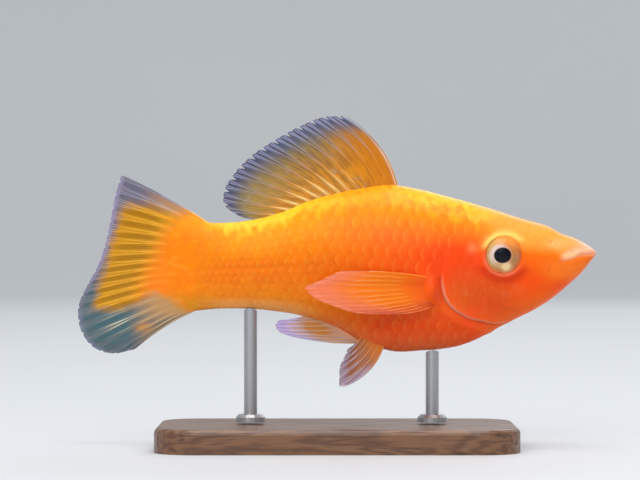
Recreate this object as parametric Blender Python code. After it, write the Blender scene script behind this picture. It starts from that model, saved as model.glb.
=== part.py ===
"""A life-size gold molly, held in its swimming pose on a small display stand.

The fish looks along +X, its left side is +Y, and the stand rests on Z = 0.
Every size below is in millimetres, in the fish's own frame: s is measured back from the tip of the snout,
y out to the fish's left, and h up from the tip of the snout. place() turns these into metres.
"""

import math

import bmesh
import bpy
import numpy as np
from mathutils import Vector

MM = 0.001
TOTAL_LENGTH = 75.0
GAP = 0.3  # clear space between neighbouring pieces
NEAR, FAR = -1, 1  # the fish's right side, at -Y, and its left side, at +Y
SIDES = {NEAR: "right", FAR: "left"}

BASE_LENGTH, BASE_DEPTH, BASE_THICKNESS = 52.0, 30.0, 3.5
BASE_CORNER, BASE_EDGE = 6.0, 0.7
ROD_STATIONS = {"front": 23.7, "rear": 50.0}
ROD_RADIUS, COLLAR_RADIUS, COLLAR_HEIGHT = 0.95, 2.1, 1.2
FIN_CLEARANCE = 5.5  # from the lowest fin tip down to the base
LOWEST_FIN_TIP = -19.4
SNOUT_HEIGHT = BASE_THICKNESS + FIN_CLEARANCE - LOWEST_FIN_TIP

# The tail swings towards the fish's left behind this station.
SWING_FROM, SWING = 35.0, 3.0

# The body's outline and sections: each pair is (s, value).
BACK_LINE = [
    (0.3, 0.30), (1.4, 1.0), (3.0, 1.9), (5.0, 2.7), (6.9, 3.55), (9.2, 4.35), (11.5, 5.1), (15.2, 6.3),
    (21.7, 8.15), (25.7, 9.15), (30.0, 9.8), (33.0, 9.45), (37.0, 8.7), (42.0, 7.3), (44.8, 6.1),
    (48.2, 5.05), (54.0, 4.3), (57.5, 4.2), (60.3, 3.6),
]
BELLY_LINE = [
    (0.3, -0.75), (2.2, -3.1), (4.0, -4.75), (6.4, -6.75), (8.9, -8.4), (11.5, -9.7), (14.1, -11.1),
    (16.2, -12.2), (18.6, -13.3), (21.3, -13.95), (25.0, -14.3), (29.5, -14.4), (33.4, -13.2),
    (37.7, -10.75), (41.7, -9.4), (47.7, -8.35), (54.0, -8.15), (57.5, -8.1), (60.3, -7.4),
]
HALF_WIDTH = [
    (0.3, 1.2), (1.0, 1.75), (3.0, 2.65), (6.0, 3.65), (9.0, 4.4), (13.0, 5.05), (18.0, 5.6), (23.0, 5.9),
    (29.0, 5.8), (35.0, 5.0), (41.0, 4.0), (47.0, 3.0), (52.0, 2.3), (57.0, 1.5), (60.3, 0.75),
]
WIDEST_AT = [(0.3, 0.5), (5.0, 0.6), (13.0, 0.62), (22.0, 0.58), (30.0, 0.55), (42.0, 0.55), (60.3, 0.5)]
BACK_ROUNDNESS = [(0.3, 2.4), (8.0, 2.6), (15.0, 2.3), (25.0, 2.0), (40.0, 1.9), (60.3, 2.0)]
BELLY_ROUNDNESS = [(0.3, 2.2), (10.0, 2.0), (22.0, 1.9), (32.0, 1.8), (45.0, 2.0), (60.3, 2.0)]
SNOUT_END, FLESH_END = 0.3, 60.3
TAIL_BASE_FROM, TAIL_BASE_ROUNDING = 53.0, 2.4  # the scaled end of the tail stalk is convex from the side
RING_POINTS = 36

# The head.
EYE_AT, EYE_RADIUS, EYE_DEPTH, EYE_BULGE = (13.38, -0.87), 2.75, 1.5, 0.7
ORBIT_RIM_RADIUS, ORBIT_RIM_THICKNESS = 2.98, 0.42
MOUTH_TIP, MOUTH_CORNER = (-2.0, 0.15), (5.9, -1.45)
JAW_HINGE_SLOPE = 0.17
LIP_RADIUS, LIP_RISE = 0.42, 0.42
NOSTRILS = [(7.4, 1.75, 0.4), (9.2, 2.15, 0.32)]

# The gill cover: its rear edge is an arc and a straight run to the throat, and its front edge is an arc.
# The rear arc goes on above the gill opening, where the cover's rounded top lies in the side of the head.
GILL_ARC_AT, GILL_ARC_RADIUS, GILL_ARC_TOP, GILL_ARC_FROM, GILL_ARC_TO = (15.76, -3.76), 6.5, -50.0, -18.0, 70.0
CHEEK_ARC_AT, CHEEK_ARC_RADIUS, CHEEK_ARC_TOP = (10.41, -1.74), 7.53, -17.0
GILL_COVER_LOW = 15.2
GILL_COVER_THICKNESS = 0.8
GILL_COVER_RISE, RISE_FROM, RISE_TO = 0.28, 15.0, 21.0  # how proud it stands, growing between these stations
MIDDLE_WALL = 0.4  # half the throat's wall between the two gill covers
PAST_GILL_EDGE = 2.0  # how far back the cut for a gill cover runs, out through the head's rear edge
NAPE_TOP = (24.9, 13.0)

TAIL_STALK_FROM, TAIL_STALK_SLANT = 46.9, -1.5

FIN_THICKNESS, RAY_RISE = 0.5, 0.17
ROOT_SINK = 1.1

BEYOND = 30.0  # how far a cutting outline reaches past the fish
HALF_CUT = 12.0  # half the width of a cutting shape, wider than the fish


def smooth(points):
    """A curve through (place, value) pairs, as a function of place."""
    places, values = np.array(points, float).T
    slopes = np.gradient(values, places)

    def value(place):
        place = np.clip(place, places[0], places[-1])
        i = np.clip(np.searchsorted(places, place, side="right") - 1, 0, len(places) - 2)
        width = places[i + 1] - places[i]
        u = (place - places[i]) / width
        ends = (1 + 2 * u) * (1 - u) ** 2 * values[i] + u * u * (3 - 2 * u) * values[i + 1]
        bends = u * (1 - u) ** 2 * slopes[i] + u * u * (u - 1) * slopes[i + 1]
        return ends + width * bends

    return value


def outline(points):
    """A smooth line through points in the side view, as a function of t from 0 to 1 along it."""
    corners = np.array(points, float)
    steps = np.linalg.norm(np.diff(corners, axis=0), axis=1)
    along = np.concatenate([[0.0], np.cumsum(steps)]) / steps.sum()
    s_of, h_of = (smooth(list(zip(along, corners[:, axis]))) for axis in (0, 1))
    return lambda t: np.array([s_of(t), h_of(t)])


back, belly, half_width = smooth(BACK_LINE), smooth(BELLY_LINE), smooth(HALF_WIDTH)
widest_at, back_roundness, belly_roundness = smooth(WIDEST_AT), smooth(BACK_ROUNDNESS), smooth(BELLY_ROUNDNESS)


def swing(s):
    return SWING * (max(0.0, s - SWING_FROM) / (TOTAL_LENGTH - SWING_FROM)) ** 2


def place(s, y, h):
    return Vector((TOTAL_LENGTH / 2 - s, y + swing(s), SNOUT_HEIGHT + h)) * MM


def section(s, outset=0.0):
    """Half width, height of the widest level, and the rises above and below it, of the body's section at s."""
    top, bottom = back(s) + outset, belly(s) - outset
    middle = bottom + widest_at(s) * (top - bottom)
    return half_width(s) + outset, middle, top - middle, middle - bottom


def flank(s, h):
    """Half width of the body at height h of the section at s."""
    half, middle, above, below = section(s)
    share, roundness = (
        ((h - middle) / above, back_roundness(s)) if h > middle else ((middle - h) / below, belly_roundness(s))
    )
    return half * max(0.0, 1 - share**roundness) ** (1 / roundness)


def body_stations():
    head = SNOUT_END + (14.0 - SNOUT_END) * (np.arange(13) / 13) ** 1.35
    trunk = np.linspace(14.0, 50.0, 19)[:-1]
    return np.concatenate([head, trunk, np.linspace(50.0, FLESH_END, 7)])


def body_ring(s, outset):
    """Points round the body's section at s, grown by outset."""
    half, middle, above, below = section(s, outset)
    end_share = min(1.0, max(0.0, (s - TAIL_BASE_FROM) / (FLESH_END - TAIL_BASE_FROM)))
    stretched = s + outset * (2 * (s - SNOUT_END) / (FLESH_END - SNOUT_END) - 1)
    ring = []
    for k in range(RING_POINTS):
        angle = 2 * math.pi * (k + 0.5) / RING_POINTS
        across, up = math.cos(angle), math.sin(angle)
        power = 2 / (back_roundness(s) if up > 0 else belly_roundness(s))
        y = half * math.copysign(abs(across) ** power, across)
        h = middle + (above if up > 0 else below) * math.copysign(abs(up) ** power, up)
        rounding = TAIL_BASE_ROUNDING * end_share**2 * up * up
        ring.append(place(stretched - rounding, y, h))
    return ring


def new_object(name, vertices, faces):
    """An object from points in metres, with its faces pointing out."""
    mesh = bpy.data.meshes.new(name)
    mesh.from_pydata(vertices, [], faces)
    shape = bmesh.new()
    shape.from_mesh(mesh)
    bmesh.ops.recalc_face_normals(shape, faces=shape.faces)
    shape.to_mesh(mesh)
    shape.free()
    built = bpy.data.objects.new(name, mesh)
    bpy.context.collection.objects.link(built)
    return built


def loft(name, rings):
    """A closed shape through rings of equally many points, with a fan at each end."""
    count = len(rings[0])
    vertices = [point for ring in rings for point in ring]
    faces = [
        (i * count + k, i * count + (k + 1) % count, (i + 1) * count + (k + 1) % count, (i + 1) * count + k)
        for i in range(len(rings) - 1)
        for k in range(count)
    ]
    for ring in (0, len(rings) - 1):
        start = ring * count
        vertices.append(sum(rings[ring], Vector()) / count)
        faces += [(start + k, start + (k + 1) % count, len(vertices) - 1) for k in range(count)]
    return new_object(name, vertices, faces)


def whole_body(name, outset=0.0):
    """The fish's flesh in one closed shape, without its fins. outset is a number, or a function of s."""
    grown = outset if callable(outset) else lambda s: outset
    return loft(name, [body_ring(s, grown(s)) for s in body_stations()])


def inner_body(name, depth):
    """The middle of the body from before to behind the gill covers, at this depth below the skin."""
    return loft(name, [body_ring(s, -depth) for s in body_stations() if 9.0 < s < 30.0])


def prism(name, corners, side=None):
    """A closed shape with these corners in the side view, through the whole fish or on one side of it only."""
    count = len(corners)
    span = (-HALF_CUT, HALF_CUT) if side is None else (MIDDLE_WALL * side, HALF_CUT * side)
    vertices = [place(s, y, h) for y in span for s, h in corners]
    faces = [tuple(range(count)), tuple(range(count, 2 * count))]
    faces += [(k, (k + 1) % count, count + (k + 1) % count, count + k) for k in range(count)]
    return new_object(name, vertices, faces)


def tube(name, centres, radii, upright, closed=False):
    """A round bar through the centres, closed into a ring or capped at both ends.

    Centres and radii are in mm, and upright is a direction that the bar never runs along.
    """
    sides = 8
    points = [place(*centre) for centre in centres]
    count = len(points)
    rings = []
    for i, (point, radius) in enumerate(zip(points, radii)):
        before = points[i - 1] if closed or i else point
        after = points[(i + 1) % count] if closed or i < count - 1 else point
        across = (after - before).cross(upright).normalized() * radius * MM
        rise = (after - before).normalized().cross(across)
        angles = (2 * math.pi * k / sides for k in range(sides))
        rings.append([point + math.cos(a) * across + math.sin(a) * rise for a in angles])
    if not closed:
        return loft(name, rings)
    vertices = [vertex for ring in rings for vertex in ring]
    faces = []
    for i in range(count):
        here, there = i * sides, (i + 1) % count * sides
        faces += [(here + k, here + (k + 1) % sides, there + (k + 1) % sides, there + k) for k in range(sides)]
    return new_object(name, vertices, faces)


def ball(name, centre, radii, around=20, rings=12):
    """An ellipsoid with its poles towards the fish's two sides."""
    shape = bmesh.new()
    bmesh.ops.create_uvsphere(shape, u_segments=around, v_segments=rings, radius=1.0)
    middle = place(*centre)
    for vertex in shape.verts:
        x, y, z = vertex.co
        vertex.co = middle + Vector((x * radii[0], -z * radii[1], y * radii[2])) * MM
    mesh = bpy.data.meshes.new(name)
    shape.to_mesh(mesh)
    shape.free()
    built = bpy.data.objects.new(name, mesh)
    bpy.context.collection.objects.link(built)
    return built


def remove(*objects):
    for item in objects:
        bpy.data.objects.remove(item)


def keep_largest(item):
    """Drops every closed surface of the object but the largest."""
    shape = bmesh.new()
    shape.from_mesh(item.data)
    left, pieces = set(shape.verts), []
    while left:
        piece, edge = set(), {left.pop()}
        while edge:
            vertex = edge.pop()
            piece.add(vertex)
            edge |= {e.other_vert(vertex) for e in vertex.link_edges} - piece
        left -= piece
        pieces.append(piece)
    largest = max(pieces, key=len)
    loose = [vertex for piece in pieces if piece is not largest for vertex in piece]
    bmesh.ops.delete(shape, geom=loose, context="VERTS")
    shape.to_mesh(item.data)
    shape.free()


def combine(item, operation, tool):
    """Applies a Boolean of the object with a tool object, or with a list of them for a union."""
    modifier = item.modifiers.new("combine", "BOOLEAN")
    modifier.operation = operation
    tools = tool if isinstance(tool, list) else [tool]
    group = None
    if isinstance(tool, list):
        group = bpy.data.collections.new("pieces")
        for piece in tools:
            group.objects.link(piece)
        modifier.operand_type = "COLLECTION"
        modifier.collection = group
    else:
        modifier.object = tool
    graph = bpy.context.evaluated_depsgraph_get()
    result = bpy.data.meshes.new_from_object(item.evaluated_get(graph))
    item.modifiers.clear()
    item.data = result
    if group:
        bpy.data.collections.remove(group)
    keep_largest(item)
    return item


def arc(centre, radius, start, end, count):
    """Points along an arc in the side view. An angle of 0 degrees is rearwards and 90 is downwards."""
    angles = np.radians(np.linspace(start, end, count))
    return [(centre[0] + radius * math.cos(a), centre[1] - radius * math.sin(a)) for a in angles]


def gill_edge(gap, run=8.0):
    """The head's rear edge from above the nape down to below the throat, moved back by gap."""
    rear = arc(GILL_ARC_AT, GILL_ARC_RADIUS + gap, GILL_ARC_FROM, GILL_ARC_TO, 14)
    low_angle = math.radians(GILL_ARC_TO)
    forward, down = math.sin(low_angle), math.cos(low_angle)
    throat = (rear[-1][0] - run * forward, rear[-1][1] - run * down)
    return [(NAPE_TOP[0] + gap, NAPE_TOP[1]), *rear, throat]


def head_outline():
    edge = gill_edge(-GAP / 2)
    return [*edge, (-BEYOND, edge[-1][1]), (-BEYOND, NAPE_TOP[1])]


def stalk_edge(gap):
    """The line between trunk and tail stalk, moved back by gap, from top to bottom."""
    return [(TAIL_STALK_FROM + TAIL_STALK_SLANT * end + gap, end * BEYOND) for end in (1, -1)]


def trunk_outline():
    edge, rear = gill_edge(GAP / 2), stalk_edge(-GAP / 2)
    return [(edge[0][0], BEYOND), *edge, (edge[-1][0], -BEYOND), rear[1], rear[0]]


def stalk_outline():
    edge = stalk_edge(GAP / 2)
    return [*edge, (TOTAL_LENGTH, -BEYOND), (TOTAL_LENGTH, BEYOND)]


def jaw_outline(grow):
    """The lower jaw's outline, between the mouth line and a line down from its corner, grown by grow."""
    (tip_s, tip_h), (corner_s, corner_h) = MOUTH_TIP, MOUTH_CORNER
    low = -BEYOND / 2
    return [
        (tip_s, tip_h + grow),
        (corner_s + grow, corner_h + grow),
        (corner_s + grow - JAW_HINGE_SLOPE * (low - corner_h), low),
        (tip_s, low),
    ]


def gill_cover_outline(rear, grow):
    """The gill cover's outline. rear moves its rear edge back, and grow moves its other edges out."""
    low_s = GILL_COVER_LOW - grow
    *_, above_throat, throat = gill_edge(rear)
    slope = (throat[1] - above_throat[1]) / (throat[0] - above_throat[0])
    rear_edge = [*gill_edge(rear)[1:-1], (low_s, above_throat[1] + slope * (low_s - above_throat[0]))]
    radius = CHEEK_ARC_RADIUS - grow
    low_angle = math.degrees(math.acos((low_s - CHEEK_ARC_AT[0]) / radius))
    front_edge = arc(CHEEK_ARC_AT, radius, low_angle, CHEEK_ARC_TOP, 9)
    top_edge = arc(GILL_ARC_AT, GILL_ARC_RADIUS - GAP / 2 + grow, GILL_ARC_TOP, GILL_ARC_FROM, 5)
    (front_s, front_h), (top_s, top_h) = front_edge[-1], top_edge[0]
    corner = [(front_s + 0.25, front_h + 0.65), ((front_s + top_s) / 2, top_h + 0.05)]
    return [*top_edge, *rear_edge, *front_edge, *corner]


def lip(name, rise):
    """A lip along the mouth line, from one corner round the snout to the other."""
    (tip_s, tip_h), (corner_s, corner_h) = MOUTH_TIP, MOUTH_CORNER
    slope = (corner_h - tip_h) / (corner_s - tip_s)
    stations = [5.4, 4.4, 3.4, 2.4, 1.5, 0.85]

    def line(s):
        return tip_h + slope * (s - tip_s) + rise

    near = [(s, -half_width(s) * 0.97, line(s)) for s in stations]
    front = [(0.42, y, line(0.42)) for y in (-1.0, 0.0, 1.0)]
    far = [(s, -y, h) for s, y, h in reversed(near)]
    radii = [LIP_RADIUS * (0.5 + 0.5 * min(1.0, (corner_s - s) / 3)) for s, _, _ in near]
    radii = [*radii, *[LIP_RADIUS] * len(front), *reversed(radii)]
    return tube(name, [*near, *front, *far], radii, Vector((0, 0, 1)))


def orbit_rim(side, count=22):
    """The raised ring of skin round one eye."""
    centres = []
    for k in range(count):
        angle = 2 * math.pi * k / count
        s = EYE_AT[0] + ORBIT_RIM_RADIUS * math.cos(angle)
        h = EYE_AT[1] + ORBIT_RIM_RADIUS * math.sin(angle)
        centres.append((s, side * flank(s, h), h))
    return tube("orbit_rim", centres, [ORBIT_RIM_THICKNESS] * count, Vector((0, 1, 0)), closed=True)


def eyeball(name, side, grow=0.0):
    outermost = flank(*EYE_AT) + EYE_BULGE
    centre = (EYE_AT[0], side * (outermost - EYE_DEPTH), EYE_AT[1])
    radius = EYE_RADIUS + grow
    return ball(name, centre, (radius, EYE_DEPTH + grow, radius))


def grown_skin(s):
    """How far the gill cover stands proud of the head, rising from nothing at its front edge."""
    share = min(1.0, max(0.0, (s - RISE_FROM) / (RISE_TO - RISE_FROM)))
    return GILL_COVER_RISE * share * share * (3 - 2 * share)


def build_head():
    """The head with lips, orbit rims and nostrils, parted from the jaw, the gill covers and the eyes."""
    head = combine(whole_body("head"), "INTERSECT", region := prism("region", head_outline()))
    jaw_room = prism("jaw_room", jaw_outline(GAP / 2))
    upper_lip = lip("upper_lip", LIP_RISE)
    rims = [orbit_rim(side) for side in (NEAR, FAR)]
    combine(head, "UNION", [upper_lip, *rims])
    combine(head, "DIFFERENCE", jaw_room)
    for side in (NEAR, FAR):
        socket = eyeball("socket", side, grow=GAP)
        combine(head, "DIFFERENCE", socket)
        for s, h, radius in NOSTRILS:
            pit = ball("pit", (s, side * flank(s, h), h), (radius, 0.5, radius), around=10, rings=6)
            combine(head, "DIFFERENCE", pit)
            remove(pit)
        remove(socket)
    for room in side_rooms():
        combine(head, "DIFFERENCE", room)
        remove(room)
    remove(region, jaw_room, upper_lip, *rims)
    return head


def side_rooms():
    """The recesses that the two gill covers lie in, one closed shape each."""
    rooms = []
    for side in (NEAR, FAR):
        room = prism("cover_room", gill_cover_outline(PAST_GILL_EDGE, GAP), side)
        inner = inner_body("inner", GILL_COVER_THICKNESS + GAP)
        rooms.append(combine(room, "DIFFERENCE", inner))
        remove(inner)
    return rooms


def build_gill_cover(side):
    cover = prism(f"gill_cover_{SIDES[side]}", gill_cover_outline(-GAP / 2, 0.0), side)
    outer = whole_body("outer", grown_skin)
    inner = inner_body("inner", GILL_COVER_THICKNESS)
    combine(cover, "INTERSECT", outer)
    combine(cover, "DIFFERENCE", inner)
    remove(outer, inner)
    return cover


def build_lower_jaw():
    jaw = whole_body("lower_jaw")
    lower_lip = lip("lower_lip", -LIP_RISE)
    region = prism("region", jaw_outline(-GAP / 2))
    combine(jaw, "UNION", [lower_lip])
    combine(jaw, "INTERSECT", region)
    remove(lower_lip, region)
    return jaw


def build_torso(name, corners):
    """A length of the body between two cuts."""
    region = prism("region", corners)
    torso = combine(whole_body(name), "INTERSECT", region)
    remove(region)
    return torso


def blade(name, root, tip, bow, side, rays, rows, scallop=0.02, flesh=0.3):
    """A fin: a membrane with its rays raised as ridges on both faces.

    root(t) and tip(t) give each ray's ends in the side view, bow(t) how far its middle is moved across it,
    and side(t, u) how far out it lies, for t from the first ray to the last and u from root to tip.
    """
    foot = 0.27
    columns = [
        ((ray + shift) / (rays - 1), ridge)
        for ray in range(rays)
        for shift, ridge in ((-foot, 0.0), (0.0, 1.0), (foot, 0.0))
        if -1e-9 <= (ray + shift) / (rays - 1) <= 1 + 1e-9
    ]
    middle = np.zeros((rows + 1, len(columns), 3))
    half = np.zeros((rows + 1, len(columns)))
    for j, (t, ridge) in enumerate(columns):
        start, end = root(t), tip(t)
        chord = end - start
        across = np.array([-chord[1], chord[0]]) / np.linalg.norm(chord)
        control = (start + end) / 2 + 2 * bow(t) * across
        reach = 1 - scallop * (1 - ridge)
        for i in range(rows + 1):
            u = i / rows * reach
            s, h = (1 - u) ** 2 * start + 2 * u * (1 - u) * control + u * u * end
            middle[i, j] = np.array(place(s, side(t, u), h)) / MM
            thin_tip = 1 - 0.5 * max(0.0, (i / rows - 0.9) / 0.1)
            fleshy = flesh * max(0.0, 1 - u / 0.3) ** 2
            half[i, j] = FIN_THICKNESS / 2 * thin_tip + ridge * RAY_RISE * (1 - 0.7 * u) + fleshy
    normals = np.cross(np.gradient(middle, axis=0), np.gradient(middle, axis=1))
    normals /= np.linalg.norm(normals, axis=2)[:, :, None]
    faces_apart = half[:, :, None] * normals
    return sheet_solid(name, middle + faces_apart, middle - faces_apart)


def sheet_solid(name, front, rear):
    """A closed thin shape between two grids of points, split into triangles alike on both faces."""
    rows, columns = front.shape[:2]
    vertices = [Vector(point) * MM for point in np.concatenate([front.reshape(-1, 3), rear.reshape(-1, 3)])]
    other = rows * columns
    faces = []
    for i in range(rows - 1):
        for j in range(columns - 1):
            a, b = i * columns + j, i * columns + j + 1
            c, d = a + columns, b + columns
            faces += [(a, c, d), (a, d, b), (other + a, other + d, other + c), (other + a, other + b, other + d)]
    border = [(0, j) for j in range(columns)] + [(i, columns - 1) for i in range(1, rows)]
    border += [(rows - 1, j) for j in range(columns - 2, -1, -1)] + [(i, 0) for i in range(rows - 2, 0, -1)]
    indices = [i * columns + j for i, j in border]
    for a, b in zip(indices, indices[1:] + indices[:1]):
        faces += [(a, b, other + b), (a, other + b, other + a)]
    return new_object(name, vertices, faces)


def set_on_body(fin):
    """Cuts the fin's sunk root away, so that it meets the body face to face."""
    grown = whole_body("grown", GAP)
    combine(fin, "DIFFERENCE", grown)
    remove(grown)
    return fin


def build_dorsal_fin():
    first, last = 29.6, 45.2
    tips = outline([
        (36.3, 19.7), (39.7, 19.5), (42.7, 18.3), (46.5, 16.2), (50.0, 13.8), (52.4, 11.3), (53.9, 8.5),
        (53.9, 7.1), (52.4, 5.6), (51.4, 5.1),
    ])

    def root(t):
        s = first + (last - first) * t
        return np.array([s, back(s) - ROOT_SINK])

    def bow(t):
        return 1.75 * (1 - t) ** 1.5 - 0.3 * t

    def side(t, u):
        return 0.5 * u * u * math.sin(2.2 * math.pi * t + 0.6)

    return set_on_body(blade("dorsal_fin", root, tips, bow, side, rays=14, rows=9, flesh=0.2))


def build_tail_fin():
    roots = outline([(57.4, 3.4), (58.6, 1.5), (59.0, -2.0), (58.6, -5.5), (57.2, -7.5)])
    tips = outline([
        (68.3, 10.9), (69.4, 8.5), (70.0, 5.0), (70.9, 1.0), (72.0, -2.2), (73.6, -5.0), (75.0, -8.3),
        (74.3, -11.7), (71.8, -14.3), (67.6, -14.4),
    ])

    def bow(t):
        return 0.25 * math.cos(math.pi * t)

    def side(t, u):
        """The margin of the upper half curls towards the fish's right, and the lower lobe a little to its left."""
        curl = max(0.0, (u - 0.5) / 0.5) ** 2
        upper = max(0.0, 1 - (max(0.0, t - 0.12) / 0.5) ** 2)
        return -2.4 * curl * upper + 1.0 * u * u * t

    return set_on_body(blade("tail_fin", roots, tips, bow, side, rays=18, rows=9, scallop=0.012, flesh=0.45))


def build_anal_fin():
    """The narrow anal fin, swept back under the belly's rise."""
    tips = outline([(44.7, -12.0), (45.9, -11.5), (46.4, -10.7), (46.0, -10.0), (45.0, -9.9)])

    def root(t):
        s = 33.9 + 6.3 * t
        return np.array([s, belly(s) + 0.8])

    def bow(t):
        return -0.5 * (1 - t)

    def side(t, u):
        return 0.0

    return set_on_body(blade("anal_fin", root, tips, bow, side, rays=8, rows=8, scallop=0.015, flesh=0.15))


def build_pelvic_fin(side_sign):
    tips = outline([(36.4, -19.3), (37.05, -19.4), (37.1, -18.2), (37.1, -16.9), (36.3, -15.2), (35.9, -14.2)])
    spread = 1.9 if side_sign == NEAR else 2.6

    def root(t):
        s = 30.6 + 3.2 * t
        return np.array([s, belly(s) + 1.2])

    def bow(t):
        return -0.3

    def side(t, u):
        return side_sign * (1.35 + spread * u)

    name = f"pelvic_fin_{SIDES[side_sign]}"
    return set_on_body(blade(name, root, tips, bow, side, rays=6, rows=6, scallop=0.03, flesh=0.1))


def build_pectoral_fin(side_sign):
    tips = outline([
        (37.8, -3.1), (40.2, -4.2), (42.1, -5.1), (40.7, -6.5), (38.2, -7.6), (35.2, -8.6), (30.2, -8.8),
    ])
    root_s, root_top, root_low = 22.9, -3.9, -7.3

    def root(t):
        return np.array([root_s, root_top + (root_low - root_top) * t])

    def bow(t):
        return 0.35 * (1 - t) - 0.5 * t

    def side(t, u):
        out = flank(root_s, root_top + (root_low - root_top) * t) - ROOT_SINK
        return side_sign * (out + 2.9 * (1 - (1 - u) ** 4) + 0.5 * t * u)

    name = f"pectoral_fin_{SIDES[side_sign]}"
    return set_on_body(blade(name, root, tips, bow, side, rays=10, rows=8, flesh=0.25))


def build_stand_base():
    """A rounded plate with its top edge eased."""
    shape = bmesh.new()
    bmesh.ops.create_cube(shape, size=1.0)
    for vertex in shape.verts:
        x, y, z = vertex.co
        vertex.co = Vector((x * BASE_LENGTH, y * BASE_DEPTH, (z + 0.5) * BASE_THICKNESS)) * MM
    upright = [e for e in shape.edges if abs(e.verts[0].co.z - e.verts[1].co.z) > MM]
    bmesh.ops.bevel(shape, geom=upright, offset=BASE_CORNER * MM, segments=7, profile=0.5, affect="EDGES")
    top = BASE_THICKNESS * MM - 1e-6
    rim = [
        e for e in shape.edges
        if all(v.co.z > top for v in e.verts) and any(f.normal.z < 0.5 for f in e.link_faces)
    ]
    bmesh.ops.bevel(shape, geom=rim, offset=BASE_EDGE * MM, segments=3, profile=0.5, affect="EDGES")
    mesh = bpy.data.meshes.new("stand_base")
    shape.to_mesh(mesh)
    shape.free()
    base = bpy.data.objects.new("stand_base", mesh)
    bpy.context.collection.objects.link(base)
    return base


def build_rod(name, s):
    """A slim rod with a collar at its foot, cut at the top to the belly that rests on it."""
    foot = BASE_THICKNESS + GAP - SNOUT_HEIGHT
    shoulder = foot + COLLAR_HEIGHT
    profile = [
        (COLLAR_RADIUS, foot), (COLLAR_RADIUS, shoulder - 0.5), (COLLAR_RADIUS - 0.4, shoulder - 0.1),
        (ROD_RADIUS, shoulder), (ROD_RADIUS, belly(s) + 2.0),
    ]
    count = 20
    centre = place(s, 0.0, 0.0)
    rings = []
    for radius, h in profile:
        turns = (2 * math.pi * k / count for k in range(count))
        rings.append([
            Vector((centre.x + radius * math.cos(a) * MM, centre.y + radius * math.sin(a) * MM, place(s, 0, h).z))
            for a in turns
        ])
    return set_on_body(loft(name, rings))


def finish(item, colour, roughness, metallic=0.0, smooth_angle=40.0):
    """Gives the object its material and smooth shading."""
    material = bpy.data.materials.new(item.name)
    material.use_nodes = True
    shader = material.node_tree.nodes["Principled BSDF"]
    shader.inputs["Base Color"].default_value = (*colour, 1.0)
    shader.inputs["Roughness"].default_value = roughness
    shader.inputs["Metallic"].default_value = metallic
    item.data.materials.clear()
    item.data.materials.append(material)
    item.data.shade_smooth()
    item.data.set_sharp_from_angle(angle=math.radians(smooth_angle))


GOLD = (0.95, 0.30, 0.02)
ORANGE = (0.92, 0.16, 0.02)
FIN_GOLD = (0.85, 0.42, 0.05)
FIN_CLEAR = (0.62, 0.55, 0.62)
EYE_GOLD = (0.55, 0.38, 0.20)
WALNUT = (0.11, 0.055, 0.03)
STEEL = (0.6, 0.6, 0.6)


def build():
    for item in list(bpy.data.objects):
        bpy.data.objects.remove(item)
    finish(build_head(), ORANGE, 0.35)
    finish(build_lower_jaw(), ORANGE, 0.35)
    finish(build_torso("trunk", trunk_outline()), GOLD, 0.35)
    finish(build_torso("tail_stalk", stalk_outline()), GOLD, 0.35)
    finish(build_dorsal_fin(), FIN_GOLD, 0.4)
    finish(build_tail_fin(), FIN_GOLD, 0.4)
    finish(build_anal_fin(), FIN_CLEAR, 0.4)
    for side in (NEAR, FAR):
        finish(build_gill_cover(side), ORANGE, 0.35)
        finish(eyeball(f"eye_{SIDES[side]}", side), EYE_GOLD, 0.1)
        finish(build_pectoral_fin(side), FIN_GOLD, 0.4)
        finish(build_pelvic_fin(side), FIN_CLEAR, 0.4)
    finish(build_stand_base(), WALNUT, 0.45)
    for end, s in ROD_STATIONS.items():
        finish(build_rod(f"stand_rod_{end}", s), STEEL, 0.3, 1.0)


build()
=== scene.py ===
"""A gold molly, life size, on its display stand: skin, scales, eyes, fins, stand and stage.

Functions that shape the fish work in millimetres, in its own side view: s runs back from the snout's tip,
y out to the fish's left and h up from the snout's tip. in_metres turns such points into the model's frame.
"""
import math

import bmesh
import bpy
import numpy as np
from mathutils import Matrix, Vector


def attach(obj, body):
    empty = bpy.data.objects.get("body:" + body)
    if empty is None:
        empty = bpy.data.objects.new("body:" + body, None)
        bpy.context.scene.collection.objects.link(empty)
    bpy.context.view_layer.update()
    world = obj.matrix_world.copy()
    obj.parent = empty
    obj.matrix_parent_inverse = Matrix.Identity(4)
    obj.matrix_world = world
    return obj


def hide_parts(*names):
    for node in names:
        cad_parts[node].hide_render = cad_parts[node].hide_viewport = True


bl_info = {
    "name": "Gold Molly",
    "version": (1, 0, 0),
    "blender": (4, 5, 0),
    "location": "3D View > Sidebar > Gold Molly",
    "description": "Builds a life-size gold molly with scales and spread fins on a display stand",
    "category": "Add Mesh",
}

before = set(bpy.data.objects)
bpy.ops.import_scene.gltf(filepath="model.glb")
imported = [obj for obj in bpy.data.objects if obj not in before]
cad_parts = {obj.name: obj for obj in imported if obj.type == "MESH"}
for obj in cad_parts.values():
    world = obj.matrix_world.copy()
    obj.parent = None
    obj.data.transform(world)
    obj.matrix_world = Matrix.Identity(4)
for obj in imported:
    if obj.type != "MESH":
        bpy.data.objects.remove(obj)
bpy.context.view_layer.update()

MM = 0.001
TURN = 2 * math.pi
TOTAL_LENGTH = 75.0
SNOUT_HEIGHT = 28.4
SWING_FROM, SWING = 35.0, 3.0
SIDES = {"right": -1, "left": 1}
FLESH = ("head", "lower_jaw", "gill_cover_right", "gill_cover_left", "trunk", "tail_stalk")
RAY_COUNTS = {"dorsal": 14, "tail": 18, "anal": 8, "pelvic": 6, "pectoral": 12}

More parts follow.
